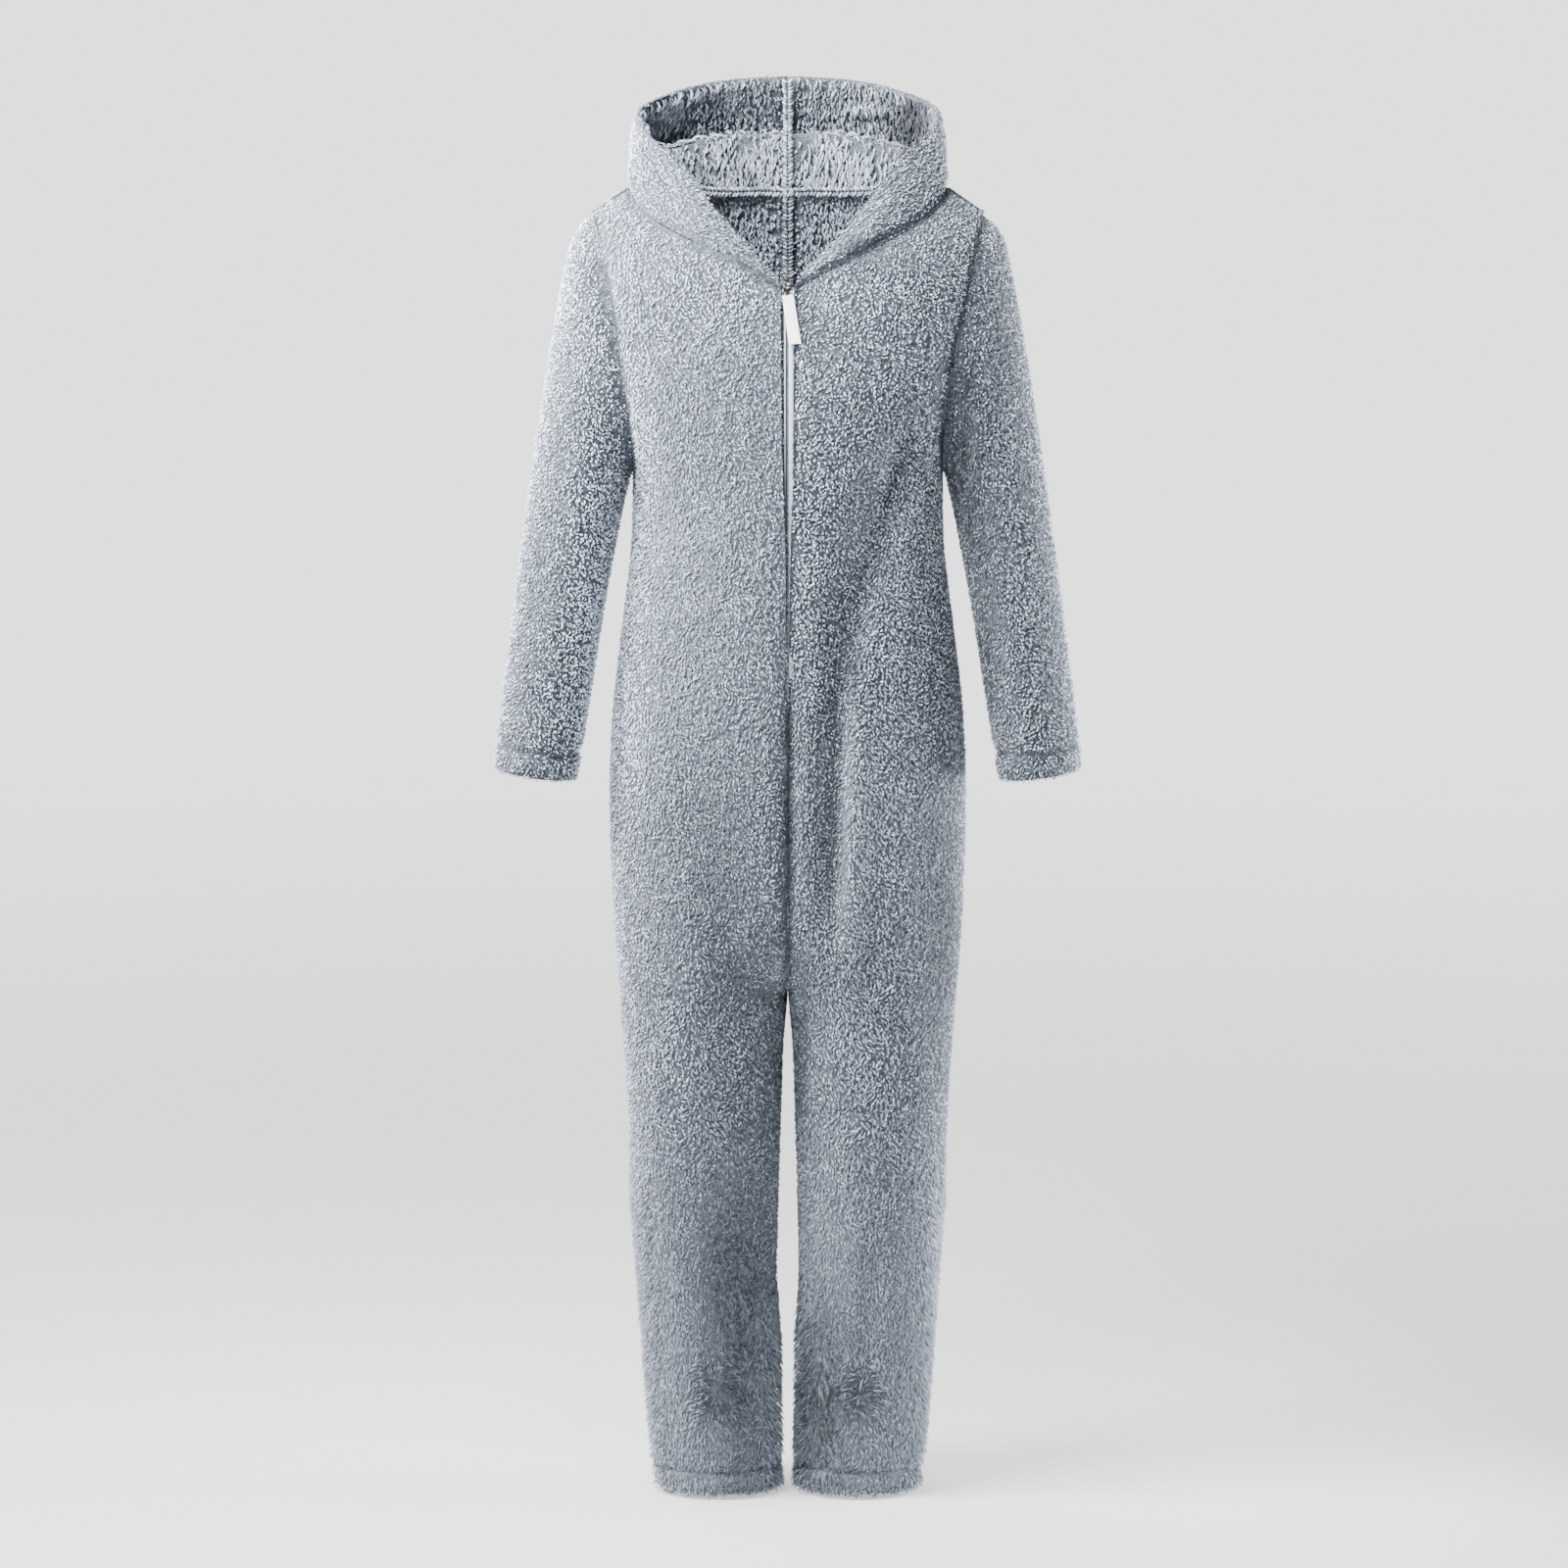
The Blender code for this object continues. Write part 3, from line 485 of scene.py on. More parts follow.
def wallSides(mesh, name, sharp):  # marks each face of a wall: outer, inner or rim
    mesh.faces.ensure_lookup_table()
    sewn = {vertex: sewnTo(name, vertex.co) for vertex in mesh.verts}
    region = {face: 0 for face in mesh.faces if all(sewn[vertex] for vertex in face.verts)}
    areas = [0.0]
    for start in mesh.faces:
        if start in region:
            continue
        index, waiting, area = len(areas), [start], 0.0
        region[start] = index
        while waiting:
            face = waiting.pop()
            area += face.calc_area()
            for edge in face.edges:
                if len(edge.link_faces) == 2 and edge.calc_face_angle(0) < sharp:
                    for other in edge.link_faces:
                        if other not in region:
                            region[other] = index
                            waiting.append(other)
        areas.append(area)
    walls = sorted(range(len(areas)), key=lambda index: -areas[index])[:2]
    score = dict.fromkeys(walls, 0.0)
    for face, index in region.items():
        if index in score:
            middle = face.calc_center_median()
            centre = limbCentre(name, np.array([middle]))[0]
            score[index] += face.calc_area() * face.normal.dot(middle - Vector(centre))
    outer = max(walls, key=lambda index: score[index])
    inner = min(walls, key=lambda index: score[index])
    for index in sorted(set(region.values()) - {0, outer, inner}):
        beside = {outer: 0.0, inner: 0.0}
        faces = [face for face, own in region.items() if own == index]
        for face in faces:
            for edge in face.edges:
                for other in edge.link_faces:
                    if region[other] in beside:
                        beside[region[other]] += edge.calc_length()
        if max(beside.values()) > 4 * min(beside.values()):  # a sharp bend, not a rim
            region.update(dict.fromkeys(faces, max(beside, key=beside.get)))
    for face, index in region.items():
        face.material_index = {outer: outerSide, inner: innerSide}.get(index, rimSide)
        face.smooth = True
    steps, along = np.linspace(0, 1, 9)[:, None], []  # points along each sewn edge
    for edge in mesh.edges:
        first, last = edge.verts
        sides = {face.material_index: face for face in edge.link_faces}
        if rimSide not in sides or len(sides) < 2:
            continue
        side = min(sides)
        for other in sewn[first] & sewn[last]:
            seamEdges.setdefault((name, other, side), []).append(
                (tuple(first.co), tuple(last.co), tuple(sides[side].normal)))
        if sewn[first] & sewn[last]:
            along.extend(np.array(first.co) * (1 - steps) + np.array(last.co) * steps)
    return pointTree(along)


def weldedCopy(node, name):
    mesh = bmesh.new()
    mesh.from_mesh(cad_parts[node].data)
    bmesh.ops.remove_doubles(mesh, verts=mesh.verts, dist=clothSettings["weld"])
    return mesh, placed(name, bpy.data.meshes.new(name))


def fineWall(name, s):
    mesh, piece = weldedCopy(name, name + "_cloth")
    bmesh.ops.join_triangles(mesh, faces=mesh.faces, angle_face_threshold=s["joined"][0],
                             angle_shape_threshold=s["joined"][1])
    seamTrees[name] = wallSides(mesh, name, s["sharp"])
    for point, way in hemsOf(name):
        for shift in (-s["hemReach"], 0.0, s["hemReach"]):
            planeCut(mesh, Vector(point) + shift * Vector(way), way, 1e-5)
    crease = mesh.edges.layers.float.new("crease_edge")
    for edge in mesh.edges:
        kinds = {face.material_index for face in edge.link_faces}
        if rimSide in kinds and (len(kinds) > 1 or edge.calc_face_angle(0) > s["sharp"]):
            edge[crease] = 1.0
    mesh.to_mesh(piece.data)
    mesh.free()
    finer = piece.modifiers.new("finer", "SUBSURF")
    finer.levels = finer.render_levels = s["levels"][name]
    finer.boundary_smooth = "PRESERVE_CORNERS"
    return evened(asPlain(piece), s["evenRounds"])


def atCrotch(points):  # how far each point belongs to the twisted cloth between the legs
    s = clothSettings["crotch"]
    near = 1 - smoothStep((np.abs(points[:, 0]) - s["half"]) / s["fade"])
    return near * (1 - smoothStep((np.abs(points[:, 2] - s["z"]) - s["tall"]) / s["fade"]))


def evened(piece, rounds):
    data = piece.data
    points, edges = readRows(data.vertices, "co"), readRows(data.edges, "vertices", 2, int)
    free = atCrotch(points)
    free[onRim(data)] = 0.0
    if free.any():
        count = np.bincount(edges.ravel(), minlength=len(points))[:, None]
        for _ in range(rounds):
            points += free[:, None] * 0.5 * (neighbourSum(points, edges) / count - points)
        data.vertices.foreach_set("co", points.ravel())
        data.update()
    return piece


def asPlain(piece):  # the evaluated shape as a plain mesh
    graph = bpy.context.evaluated_depsgraph_get()
    data = bpy.data.meshes.new_from_object(piece.evaluated_get(graph))
    old = piece.data
    piece.modifiers.clear()
    piece.data = data
    data.name = old.name
    bpy.data.meshes.remove(old)
    return piece


def wallArrays(piece):  # points, edges, each point's way out of the cloth, and its side
    data, s = piece.data, clothSettings
    points, edges = readRows(data.vertices, "co"), readRows(data.edges, "vertices", 2, int)
    out = np.zeros_like(points)
    onWall = np.zeros((len(points), 2))
    for face in data.polygons:
        if face.material_index == rimSide:
            continue
        sign = 1.0 if face.material_index == outerSide else -1.0
        which = list(face.vertices)
        out[which] += sign * face.area * np.array(face.normal)
        onWall[which, face.material_index] = 1
    middle = 1 - smoothStep((np.abs(points[:, 0]) - s["alike"][0]) / s["alike"][1])
    flat = np.abs(out[:, 1]) / np.maximum(np.linalg.norm(out, axis=1), 1e-12)
    out[:, 0] *= 1 - middle * smoothStep((flat - s["flat"][0]) / s["flat"][1])
    rim = onWall.sum(axis=1) == 0
    for _ in range(6):  # a rim's middle takes the way of its neighbours
        out[rim] = neighbourSum(out, edges)[rim]
        out = unit(out)
    return points, edges, out, onWall


def lineShare(points, first, last):  # share along a line and distance from it
    first, last = np.array(first, float), np.array(last, float)
    way = last - first
    share = np.clip((points - first) @ way / (way @ way), 0, 1)
    return share, np.linalg.norm(points - first - share[:, None] * way, axis=1)


def creaseDepth(name, points, out, s):
    depth = np.zeros(len(points))
    for side, *sizes in creases[name]:
        x1, z1, x2, z2, deep, wide = np.array(sizes) / 1000
        share, away = lineShare(points[:, [0, 2]], (x1, z1), (x2, z2))
        facing = smoothStep(out[:, 1] * side / s["creaseTurn"])
        depth += deep * facing * np.exp(-(away / wide) ** 2) * smoothStep(
            np.minimum(share, 1 - share) / s["creaseEnds"])
    return depth


walls = {name: fineWall(name, clothSettings) for name in clothNames}
arrays = {name: wallArrays(piece) for name, piece in walls.items()}
print("cloth walls", sum(len(piece.data.polygons) for piece in walls.values()) * 2, "triangles")


def toHem(name, points):  # distance from the stitched line of a leg or cuff
    away = np.full(len(points), 1.0)
    for point, way in hemsOf(name):
        away = np.minimum(away, np.abs((points - point) @ np.array(way)))
    return away


def shapeWall(name, s):
    points, edges, out, onWall = arrays[name]
    data = walls[name].data
    isRim = onRim(data)
    toSeam = nearest(seamTrees[name], points)
    openRim = isRim & (toSeam >= s["rimWithin"])
    dip = s["seamDip"] * np.exp(-(toSeam / s["seamReach"]) ** 2)
    dip += s["hemDip"] * np.exp(-(toHem(name, points) / s["hemReach"]) ** 2)
    outer, inner = onWall[:, 0] > 0, onWall[:, 1] > 0
    outside, inside = outer & ~inner, inner & ~outer
    folds = creaseDepth(name, points, out, s)
    move = -folds
    slack = s["crotchSlack"] * atCrotch(points) + s["foldSlack"] * np.abs(folds)
    move[outside] -= s["pileDepth"] + dip[outside]
    move[inside] += s["innerDepth"] - slack[inside]
    points = points + out * move[:, None]
    data.vertices.foreach_set("co", points.ravel())
    data.update()
    return points, out, (outer | openRim).astype(float), toSeam, openRim


shapes = {name: shapeWall(name, clothSettings) for name in clothNames}


def setField(data, name, values):
    kind, key = ("FLOAT", "value") if values.ndim == 1 else ("FLOAT_VECTOR", "vector")
    data.attributes.new(name, kind, "POINT").data.foreach_set(key, values.ravel())


pileSettings = {
    "curl": {"Spacing": 0.0026, "Length": 0.0050, "Width": 0.0021, "Height": 0.0021,
             "Rise": 0.0018, "Curl": 0.0010, "Rings": 2, "Swirl": 2.6, "Swirl Size": 0.024,
             "Loose": 0.70, "Lift": 0.14},
    "strand": {"Spacing": 0.0028, "Length": 0.0140, "Width": 0.0029, "Height": 0.0025,
               "Rise": 0.0030, "Curl": 0.0020, "Rings": 4, "Swirl": 0.8, "Swirl Size": 0.014,
               "Loose": 0.35, "Lift": 0.18},
    "backSpacing": 0.0032,
    "density": 1.6,  # grains tried in each square of the spacing
    "stray": 0.3,  # how far a grain may leave the nap
    "combedTurn": 0.7,  # share by which combed pile turns less
    "sizes": ((0.7, 1.2, 5), (0.75, 1.2, 7), (0.6, 1.25, 9)),  # along X, Y, Z: from, to, seed
    "clothNormal": 0.35,  # share of the cloth's own normal in a grain's shading
    # painted shade along the seams and hems
    "seamShade": 0.85,
    "sleeveShade": 0.45,  # share of it on the sleeves
    "seamReach": 0.0035,
    "hemShade": 0.35,
    "hemShadeReach": 0.0030,
    "hemReach": 0.0028,
    "rimLength": 0.55,  # these change the length of the grains
    "seamShorter": 0.50,
    "hemShorter": 0.55,
    "softLonger": 0.7,
    "whorlLonger": 0.8,
    "standLonger": 0.6,
    "whorls": [(-0.081, -1.325), (0.081, -1.325)],  # x and z, above each leg's hem
    "whorlSize": (0.026, 0.036),
    "whorlPull": 2.2,
    "whorlCurly": 0.75,  # share by which the pile is less combed there
    "sleeveLean": 0.10,
    "zipTop": (0.0, -0.09, -0.07),  # the hood's pile lies towards it
    "combed": [("", -0.84, 0.44, 0.85), ("", -0.50, 0.15, 0.22),  # piece, z, over, share
               ("front_right", -0.72, -0.15, 0.35)],
    "hoodCombed": {"hood_left": 0.25, "hood_right": 0.55},
    "standTurn": (0.72, 0.2),  # how far the cloth faces sideways where stray hairs stand
    "standFrom": (-1.02, -1.18),  # and below which height, outside and inside the legs
    "fold": (0.118, 0.02),  # y where the hood goes in behind its fold, and over what depth
    # painted light on the hood's inner fold
    "foldLight": 0.04,
    "pouchShade": -0.20,  # painted shade added behind the fold, in the pouch
    "pouchShorter": 0.35,
    "hoodSoft": 0.45,  # of the long pile inside
    "backSoft": 0.65,
    "backLength": 0.62,
    "neckBottom": -0.20,  # the backs' long pile ends here
    "innerFrom": 0.0045,  # how far from a seam the long pile starts
}

seamSettings = {
    "neck": {"Spacing": 0.0042, "Length": 0.0078, "Width": 0.0044, "Height": 0.0042,
             "Rise": 0.0020, "Curl": 0.0, "Rings": 3, "Slant": 0.85, "Above": 0.0034},
    "coil": {"Spacing": 0.0014, "Length": 0.0019, "Width": 0.0009, "Height": 0.0010,
             "Rise": 0.0004, "Curl": 0.0, "Rings": 3, "Slant": 1.45, "Above": 0.0003},
    "lowest": -0.24,  # the centre back's overlocking is made as far down as it shows
}


def stored(board, geometry, name, value, kind="FLOAT", domain="INSTANCE"):
    return board.add("GeometryNodeStoreNamedAttribute", {"data_type": kind, "domain": domain},
                     {"Geometry": geometry, "Name": name, "Value": value})


def addGrain(board, given):  # one closed, bent grain, its root at the origin and its tip along X
    ball = board.add("GeometryNodeMeshUVSphere", None,
                     {"Segments": 3, "Rings": given("Rings"), "Radius": 1.0})
    place = board.add("ShaderNodeSeparateXYZ", None,
                      {0: board.add("GeometryNodeInputPosition")})
    along = (place.output("Z") + 1) * 0.5
    arch = along * (1 - along) * 4
    bent = board.xyz(along * given("Length"),
                     place.output("Y") * given("Width") * -0.577 + arch * given("Curl"),
                     place.output("X") * given("Height") * 0.5 + arch * given("Rise"))
    ball = board.add("GeometryNodeSetPosition", None, {"Geometry": ball, "Position": bent})
    ball = board.add("GeometryNodeSetShadeSmooth", None, {0: ball})
    return stored(board, ball, "along", along, domain="POINT")


def newTree(name, numbers):
    tree = bpy.data.node_groups.new(name, "GeometryNodeTree")
    tree.interface.new_socket("Geometry", in_out="INPUT", socket_type="NodeSocketGeometry")
    for label, value in numbers.items():
        kind = "NodeSocketInt" if isinstance(value, int) else "NodeSocketFloat"
        tree.interface.new_socket(label, in_out="INPUT", socket_type=kind)
    tree.interface.new_socket("Material", in_out="INPUT", socket_type="NodeSocketMaterial")
    tree.interface.new_socket("Geometry", in_out="OUTPUT", socket_type="NodeSocketGeometry")
    board = Board(tree)
    source = board.add("NodeGroupInput")
    return tree, board, source.output


def closeTree(board, geometry, given):
    geometry = board.add("GeometryNodeRealizeInstances", None, {"Geometry": geometry})
    geometry = board.add("GeometryNodeSetMaterial", None,
                         {"Geometry": geometry, "Material": given("Material")})
    board.join(geometry, board.tree.nodes.new("NodeGroupOutput").inputs["Geometry"])


def field(board, name, kind="FLOAT"):
    return board.add("GeometryNodeInputNamedAttribute", {"data_type": kind}, {"Name": name})


def randomValue(board, low, high, seed):
    return board.add("FunctionNodeRandomValue", {"data_type": "FLOAT"},
                     {2: low, 3: high, "Seed": seed}, 1)


def turned(board, way, axis, angle):
    return board.add("ShaderNodeVectorRotate", {"rotation_type": "AXIS_ANGLE"},
                     {"Vector": way, "Axis": axis, "Angle": angle})


def aimed(board, first, second):  # X along the first way, Z near the second
    return board.add("FunctionNodeAxesToRotation", {"primary_axis": "X", "secondary_axis": "Z"},
                     {"Primary Axis": first, "Secondary Axis": second})


def grown(board, points, grain, rotation, scale):
    return board.add("GeometryNodeInstanceOnPoints", None, {
        "Points": points, "Instance": grain, "Rotation": rotation, "Scale": scale})


def makePileTree(s):
    tree, board, given = newTree("plush pile", {**s["curl"], "Seed": 1})
    spacing = given("Spacing")
    points = board.add("GeometryNodeDistributePointsOnFaces", {"distribute_method": "POISSON"}, {
        "Mesh": given("Geometry"), "Distance Min": spacing,
        "Density Max": s["density"] / (spacing * spacing), "Density Factor": field(board, "grows"),
        "Seed": given("Seed")})
    normal = points.output("Normal")
    swirl = board.add("ShaderNodeTexNoise", None, {
        "Vector": board.add("GeometryNodeInputPosition"), "Scale": 1 / given("Swirl Size"),
        "Detail": 1.0})
    turn = (swirl - 0.5) * 2 * given("Swirl") + randomValue(board, -1.0, 1.0, 3) * given("Loose")
    turn = turn * (1 - field(board, "soft") * s["combedTurn"])
    stray = board.add("FunctionNodeRandomValue", {"data_type": "FLOAT_VECTOR"},
                      {0: (-s["stray"],) * 3, 1: (s["stray"],) * 3, "Seed": 4}, 0)
    nap = board.vectors("ADD", field(board, "nap", "FLOAT_VECTOR"), stray)
    nap = board.vectors("NORMALIZE", board.vectors(
        "SUBTRACT", nap, board.vectors("PROJECT", nap, normal)))
    lift = board.add("ShaderNodeVectorMath", {"operation": "SCALE"},
                     {0: normal, "Scale": given("Lift") + field(board, "stand")})
    lie = board.vectors("NORMALIZE", board.vectors(
        "ADD", turned(board, nap, normal, turn), lift))
    long, wide, high = [randomValue(board, *size) for size in s["sizes"]]
    grains = grown(board, points, addGrain(board, given), aimed(board, lie, normal),
                   board.xyz(field(board, "reach") * long, wide, high))
    grains = stored(board, grains, "tone", randomValue(board, 0.0, 1.0, 11))
    closeTree(board, stored(board, grains, "under", normal, "FLOAT_VECTOR"), given)
    return tree


def makeSeamTree():  # pairs of grains that slant away from a line, as in an overlocked seam
    tree, board, given = newTree("sewn line", {**seamSettings["neck"], "Seed": 1})
    run, facing = field(board, "run", "FLOAT_VECTOR"), field(board, "facing", "FLOAT_VECTOR")
    both = board.add("GeometryNodeJoinGeometry")
    grain = addGrain(board, given)
    for side in (-1, 1):
        slant = (given("Slant") + randomValue(board, -0.2, 0.2, 5 + side)) * side
        size = randomValue(board, 0.85, 1.15, 9 + side)
        rows = grown(board, given("Geometry"), grain,
                     aimed(board, turned(board, run, facing, slant), facing),
                     board.xyz(size, size, size))
        board.tree.links.new(rows.socket, both.socket.node.inputs[0])
    closeTree(board, stored(board, both, "tone", randomValue(board, 0.3, 1.0, 11)), given)
    return tree


def runTree(tree, name, data, numbers, material):
    piece = placed(name, data)
    nodes = piece.modifiers.new("nodes", "NODES")
    nodes.node_group = tree
    values = {**numbers, "Material": material}
    for item in tree.interface.items_tree:
        if item.in_out == "INPUT" and item.name in values:
            nodes[item.identifier] = values[item.name]
    return asPlain(piece)


def whorl(points, s):  # how near each point is to a whorl, and the way out of it
    share, way = np.zeros(len(points)), np.zeros_like(points)
    for x, z in s["whorls"]:
        off = (points - (x, 0, z)) * (1, 0, 1)
        away = (off[:, 0] / s["whorlSize"][0]) ** 2 + (off[:, 2] / s["whorlSize"][1]) ** 2
        near = np.exp(-away) * (points[:, 1] < 0)
        share += near
        way += near[:, None] * off / np.maximum(np.linalg.norm(off, axis=1), 0.004)[:, None]
    return share, way


def napOf(name, points, out, s):  # the way in which the pile lies
    way = s["whorlPull"] * whorl(points, s)[1] * name.startswith("front")
    way[:, 2] -= 1.0
    if name.startswith("sleeve"):
        way[:, 0] = s["sleeveLean"] if name.endswith("left") else -s["sleeveLean"]
    if name.startswith("hood"):
        front = smoothStep((0.06 - points[:, 1]) / 0.08)[:, None]
        way = unit(s["zipTop"] - points) * front + way * (1 - front)
    return unit(way - out * np.sum(way * out, axis=1, keepdims=True))


def behindFold(points):
    start, over = pileSettings["fold"]
    return smoothStep((points[:, 1] - start) / over)


def paintedLightTone(label, points, out):
    tone = np.zeros(len(points))
    for start, patches in paintedLightPatches.items():
        if label.startswith(start):
            for side, *sizes, amount in patches:
                x, z, wide, high = np.array(sizes) / 1000
                away = ((points[:, 0] - x) / wide) ** 2 + ((points[:, 2] - z) / high) ** 2
                facing = smoothStep(out[:, 1] * side / 0.3 + 0.5) if side else 1.0
                tone += amount * np.exp(-away) * facing
    if label.startswith("hood") and label.endswith("inner_pile"):  # painted light on its fold, painted shade behind it in the pouch
        tone += pileSettings["foldLight"] + pileSettings["pouchShade"] * behindFold(points)
    return tone


def softPile(name, points):  # how far the pile is combed out: longer, straighter, pale-rooted
    share, s = np.zeros(len(points)), pileSettings
    if name.startswith("hood"):
        return share + s["hoodCombed"][name]
    if name.startswith("sleeve"):
        return share
    for piece, start, over, most in s["combed"]:
        if name.startswith(piece):
            share = np.maximum(share, most * smoothStep((start - points[:, 2]) / over))
    return share * (1 - s["whorlCurly"] * whorl(points, s)[0])


def standing(name, points, out):  # stray hairs stand off the outer sides of the legs
    if name.startswith(("hood", "sleeve")):
        return np.zeros(len(points))
    turn, over = pileSettings["standTurn"]
    start = np.where(out[:, 0] * points[:, 0] > 0, *pileSettings["standFrom"])
    aside = smoothStep((np.abs(out[:, 0]) - turn) / over)
    return aside * smoothStep((start - points[:, 2]) / 0.1)


def softNormals(data, share):  # a grain is lit partly as the cloth that it lies on
    under = readRows(data.attributes["under"].data, "vector")
    normals = unit(readRows(data.vertices, "normal") * (1 - share) + under * share)
    data.normals_split_custom_set_from_vertices(normals)
    for spent in ("under", "nap", "grows", "reach", "stand"):
        data.attributes.remove(data.attributes[spent])


pileTree = makePileTree(pileSettings)


def growPile(name, kind, seed, grows, reach, material):
    points, out, _, toSeam, _ = shapes[name]
    data, s, outside = walls[name].data.copy(), pileSettings, kind == "curl"
    label = name + ("_pile" if outside else "_inner_pile")
    setField(data, "grows", grows)
    setField(data, "stand", standing(name, points, out) * outside)
    setField(data, "reach", reach)
    setField(data, "nap", napOf(name, points, out if outside else -out, s))
    inside = s["backSoft"] if name.startswith("back") else s["hoodSoft"]
    setField(data, "soft", softPile(name, points) if outside
             else np.full(len(points), inside))
    # painted shade along seams and hems, taken off the pile's painted light
    shade = s["seamShade"] * np.exp(-(toSeam / s["seamReach"]) ** 2)
    shade *= s["sleeveShade"] if name.startswith("sleeve") else 1.0
    shade += s["hemShade"] * np.exp(-(toHem(name, points) / s["hemShadeReach"]) ** 2)
    setField(data, "paintedLight", paintedLightTone(label, points, out) - shade * outside)
    numbers = {**s[kind], "Seed": seed}
    if name.startswith("back") and outside:
        numbers["Spacing"] = s["backSpacing"]
    piece = runTree(pileTree, label, data, numbers, material)
    softNormals(piece.data, s["clothNormal"])
    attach(piece, "garment")
    return piece


def growPiles(name, seed, s):
    points, out, grows, toSeam, openRim = shapes[name]
    reach = np.where(openRim, s["rimLength"], 1.0) * (1 + s["softLonger"] * softPile(name, points))
    reach *= 1 - s["seamShorter"] * np.exp(-(toSeam / s["seamReach"]) ** 2)
    reach *= 1 - s["hemShorter"] * np.exp(-(toHem(name, points) / s["hemReach"]) ** 2)
    reach *= ((1 + s["whorlLonger"] * whorl(points, s)[0])
              * (1 + s["standLonger"] * standing(name, points, out)))
    made = [growPile(name, "curl", seed + 1, grows, reach, pileMaterial)]
    if name.startswith(("hood", "back")):
        inner = (arrays[name][3][:, 1] > 0) & (toSeam > s["innerFrom"])
        beside = np.clip((toSeam - 0.002) / 0.016, 0.15, 1.0)  # shorter beside a seam
        length = 1.0 - s["pouchShorter"] * behindFold(points)
        if name.startswith("back"):
            inner &= points[:, 2] > s["neckBottom"]
            length = s["backLength"]
        made.append(growPile(name, "strand", seed + 21, inner.astype(float), length * beside,
                             strandMaterial))
    print(name, "pile", [len(piece.data.polygons) for piece in made])
    return made


piles = {name: growPiles(name, seed, pileSettings) for seed, name in enumerate(clothNames)}
seamTree = makeSeamTree()


def chained(edges):  # edges put in order along their line: points and normals
    links, normals = {}, {}
    for first, last, normal in edges:
        for point, other in ((first, last), (last, first)):
            links.setdefault(point, []).append(other)
            normals[point] = np.array(normals.get(point, (0, 0, 0))) + normal
    ends = [point for point, others in links.items() if len(others) == 1]
    path = [max(ends, key=lambda point: point[0])]
    while True:
        onward = [point for point in links[path[-1]] if point not in path]
        if not onward:
            return np.array(path), np.array([normals[point] for point in path])
        path.append(onward[0])


def sewnLine(name, points, normals, numbers, material, slot):
    length = np.concatenate([[0], np.cumsum(np.linalg.norm(np.diff(points, axis=0), axis=1))])
    at = np.arange(0, length[-1], numbers["Spacing"])
    normals = unit(normals)
    line, facing = [np.stack([np.interp(at, length, rows[:, axis]) for axis in range(3)], axis=1)
                    for rows in (points + normals * numbers["Above"], normals)]
    data = bpy.data.meshes.new(name)
    data.from_pydata(line.tolist(), [], [])
    setField(data, "run", np.gradient(line, axis=0))
    setField(data, "facing", facing)
    piece = runTree(seamTree, name, data, numbers, material)
    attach(piece, "garment")
    return piece


def neckSeam(name, edges):
    sewnLine(name, *chained(edges), seamSettings["neck"], seamMaterial, "plush")


neckSeam("hood_centre_seam", seamEdges["hood_left", "hood_right", innerSide])
for side in ("left", "right"):
    neckSeam("back_neck_seam_" + side, seamEdges["hood_" + side, "back_" + side, innerSide])
neckSeam("back_centre_seam", [edge for edge in seamEdges["back_left", "back_right", innerSide]
                              if edge[0][2] > seamSettings["lowest"]])

zipSettings = {
    "ribs": [(-0.0045, -0.0022, 0.0012), (0.0007, 0.0064, 0.0013)],  # from x, to x, height
    "edge": 0.0004,
    # painted shade in the grooves between the ribs
    "grooveShade": (0.045, 0.056, 0.075, 1.0),
    "pale": (0.60, 0.66, 0.74, 1.0),
    "worn": (0.80, 0.80, 0.82, 1.0),
    "weave": 0.0011,
    "front": -0.3,  # a normal with a lower y faces front
    "backTone": 0.6,
    "coilAt": -0.0007,
    "coilWithin": 0.0006,
    "shaded": (-0.195, 0.12),  # below this height, over the next, the tapes and coil take painted shade where the pile leans in over them
    "leftShade": 0.30,
    "rightShade": 0.95,
    "coilShade": 0.9,
    "strapBend": radians(50),
    "strapEdge": 0.00025,
}


def wovenFinish(name, s, grooveShade, pale, roughness):
    material, board, shader = finish(name, pale[:3], roughness, {"Specular IOR Level": 0.35})
    place = board.add("ShaderNodeSeparateXYZ", None, {0: board.place()})
    across = board.maths("SINE", place.output("X") * (2 * pi / s["weave"]))
    along = board.maths("SINE", place.output("Z") * (2 * pi / s["weave"]) + across * 0.8)
    height = across * 0.35 + along * 0.5 + 0.5
    # pale on the ribs, painted shade in the grooves and below the given height
    colour = board.mixed(board.stored("rib"), grooveShade, pale)
    # the tape turns darker in the weave's low spots
    worn = board.mixed(board.between(height, 0.0, 0.7), s["worn"], (1, 1, 1, 1))
    board.join(board.mixed(1.0, colour, worn, "MULTIPLY"), shader.inputs["Base Color"])
    board.bump(shader, 0.5, 0.00025, height)
    return material


def metalFinish(name, colour, worn):
    material, board, shader = finish(name, colour, 0.34, {"Metallic": 1.0})
    scuffs = board.noise(300.0, 4.0, 0.6)
    # random scuffs rubbed to a paler metal
    rubbed = board.between(scuffs, 0.55, 0.63)
    board.join(board.mixed(rubbed, (*colour, 1), (*worn, 1)), shader.inputs["Base Color"])
    board.join(board.between(scuffs, 0.3, 0.7, 0.26, 0.48), shader.inputs["Roughness"])
    board.bump(shader, 0.25, 0.0001, scuffs)
    return material


tapeMaterial = wovenFinish("zip tape", zipSettings, zipSettings["grooveShade"], zipSettings["pale"], 0.8)
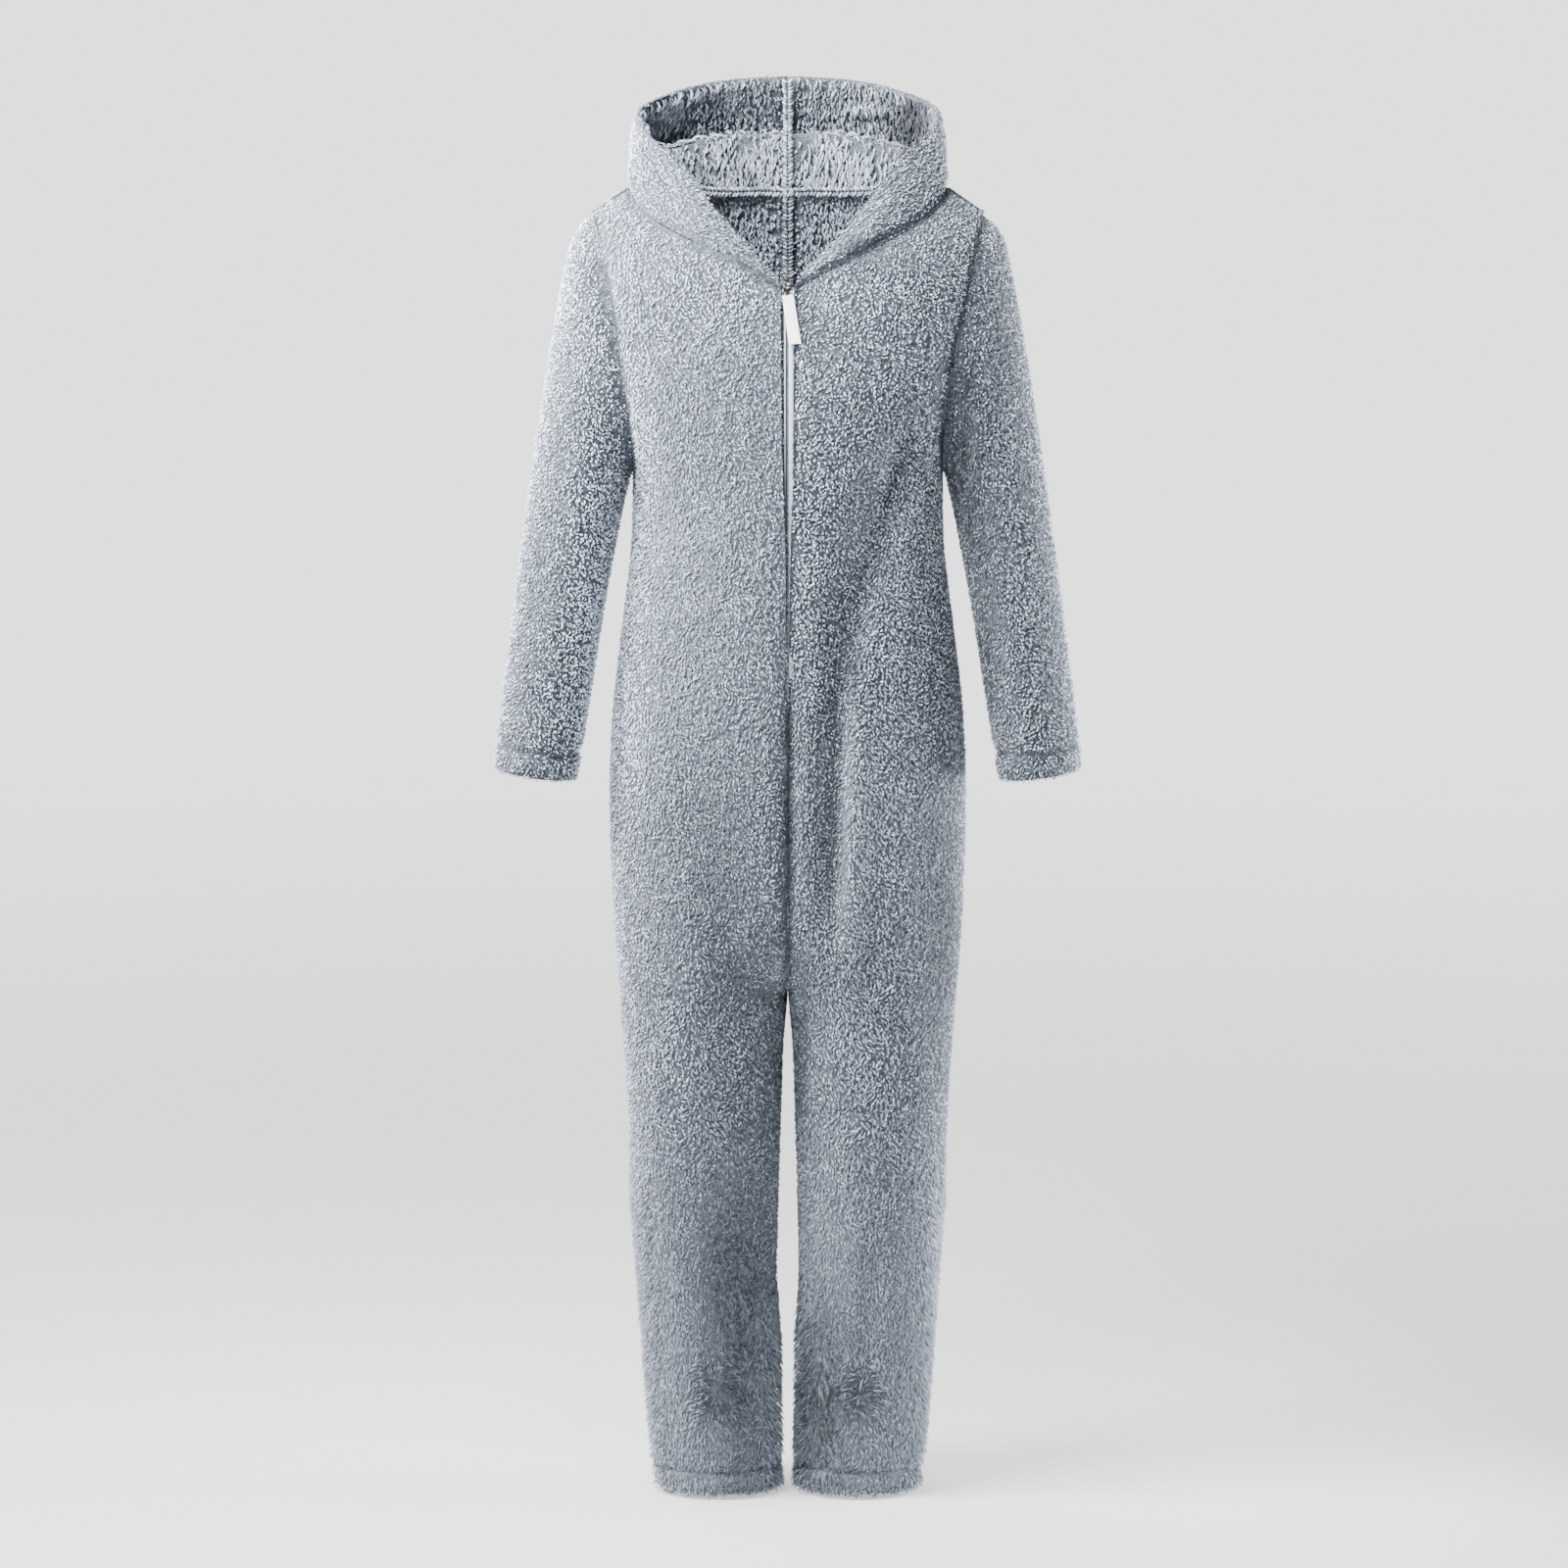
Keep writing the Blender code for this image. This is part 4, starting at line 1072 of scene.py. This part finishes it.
# the coil's grains keep the pile's painted shade at their roots
coilMaterial = pileFinish("zip coil", {**plushSettings, "root": (0.10, 0.12, 0.15, 1.0),
                                       "tip": (0.62, 0.67, 0.74, 1.0)}, 1.2)
strapMaterial = wovenFinish("pull strap", {**zipSettings, "weave": 0.0009},
                            (0.5, 0.5, 0.52, 1.0), (0.93, 0.93, 0.94, 1.0), 0.55)
metalMaterial = metalFinish("slider metal", (0.060, 0.052, 0.046), (0.74, 0.72, 0.70))


def finishCopy(mesh, piece, node, body, material):
    mesh.to_mesh(piece.data)
    mesh.free()
    piece.data.materials.append(material)
    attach(piece, body)
    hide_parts(node)
    return piece


def shadeBelow(height, s):
    return smoothStep((s["shaded"][0] - height) / s["shaded"][1])


def wovenTape(node, s):
    mesh, piece = weldedCopy(node, node + "_woven")
    for first, last, _ in s["ribs"]:
        for x in (first, first + s["edge"], last - s["edge"], last):
            planeCut(mesh, (x, 0, 0), (1, 0, 0), 1e-6)
    mesh.normal_update()
    rib = mesh.verts.layers.float.new("rib")
    for vertex in mesh.verts:
        share, front = 0.0, vertex.normal.y < s["front"]
        for first, last, height in s["ribs"]:
            rise = float(smoothStep(min(vertex.co.x - first, last - vertex.co.x) / s["edge"]))
            share = max(share, rise)
            if front:
                vertex.co.y -= rise * height
        # painted shade below the given height, deeper on the right tape
        depth = s["rightShade"] if vertex.co.x < 0 else s["leftShade"]
        shaded = 1 - depth * float(shadeBelow(vertex.co.z, s))
        vertex[rib] = shaded * (share if front else s["backTone"])
    for face in mesh.faces:
        face.smooth = True
    return finishCopy(mesh, piece, node, "garment", tapeMaterial)


def coilLine(pieces, s):  # the closed coil's path down the front of the tapes
    points = []
    for piece in pieces:
        for vertex in piece.data.vertices:
            if abs(vertex.co.x) < s["coilWithin"] and vertex.normal.y < s["front"]:
                points.append((s["coilAt"], vertex.co.y, vertex.co.z))
    points = np.array(sorted(points, key=lambda point: -point[2]))
    levels = np.arange(points[0, 2] - 0.006, points[-1, 2], -0.004)
    line = np.stack([np.full(len(levels), s["coilAt"]),
                     np.interp(-levels, -points[:, 2], points[:, 1]), levels], axis=1)
    return line, np.cross(np.gradient(line, axis=0), (-1.0, 0.0, 0.0))


tapes = [wovenTape("zip_tape_" + side, zipSettings) for side in ("left", "right")]
coil = sewnLine("zip_coil", *coilLine(tapes, zipSettings), seamSettings["coil"], coilMaterial,
                "zip_tape")
# painted shade on the coil below the given height, where the pile leans in over it
setField(coil.data, "paintedLight", -zipSettings["coilShade"] * shadeBelow(
    readRows(coil.data.vertices, "co")[:, 2], zipSettings))

mesh, strap = weldedCopy("pull_tab", "pull_strap")
sharp = [edge for edge in mesh.edges if edge.calc_face_angle(0) > zipSettings["strapBend"]]
bmesh.ops.bevel(mesh, geom=sharp, offset=zipSettings["strapEdge"], segments=2, profile=0.6,
                affect="EDGES", clamp_overlap=True)
rib = mesh.verts.layers.float.new("rib")
for vertex in mesh.verts:
    vertex[rib] = 1.0
finishCopy(mesh, strap, "pull_tab", "pull", strapMaterial)
for name in ("zip_slider", "pull_link"):
    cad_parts[name].data.materials.clear()
    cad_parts[name].data.materials.append(metalMaterial)
print("zip")

cuts = {  # width, length, area left and right, how it is held, and what it hangs from
    "front": (0.33, 1.49, 0.366, 0.363, "hung", "back"),
    "back": (0.33, 1.49, 0.369, 0.369, "hung", "front"),
    "sleeve": (0.37, 0.64, 0.187, 0.187, "hung", "front"),
    "hood": (0.36, 0.29, 0.083, 0.083, "folded", "back"),
}
seamsOn = {"hood_left": ["hood_centre_seam"],
           "back_left": ["back_neck_seam_left", "back_centre_seam"],
           "back_right": ["back_neck_seam_right"]}

for name, piece in walls.items():
    piece.data.materials.clear()
    piece.data.materials.append(backingMaterial)
    piece.data.polygons.foreach_set("material_index", np.zeros(len(piece.data.polygons), int))
    points = shapes[name][0]
    soft = softPile(name, points)
    if name.startswith("back"):
        start, over = backingSettings["neckHeights"]
        neck = backingSettings["neckSoft"] * smoothStep((points[:, 2] - start) / over)
        soft = np.maximum(soft, neck * (arrays[name][3][:, 1] > 0))
    if name.startswith("hood"):
        soft = np.minimum(soft, backingSettings["hoodSoft"])
    setField(piece.data, "soft", soft)
    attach(piece, "garment")
    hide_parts(name)
for kind, (wide, long, left, right, held, carrier) in cuts.items():
    for side, area in (("_left", left), ("_right", right)):
        name = kind + side
        onIt = piles[name] + [bpy.data.objects[seam] for seam in seamsOn.get(name, ())]
print("cloth and pile")

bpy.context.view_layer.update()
shown = [piece for piece in bpy.context.scene.objects if piece.type == "MESH"]
print("triangles", sum(len(face.vertices) - 2 for piece in shown if not piece.hide_render
                       for face in piece.data.polygons))
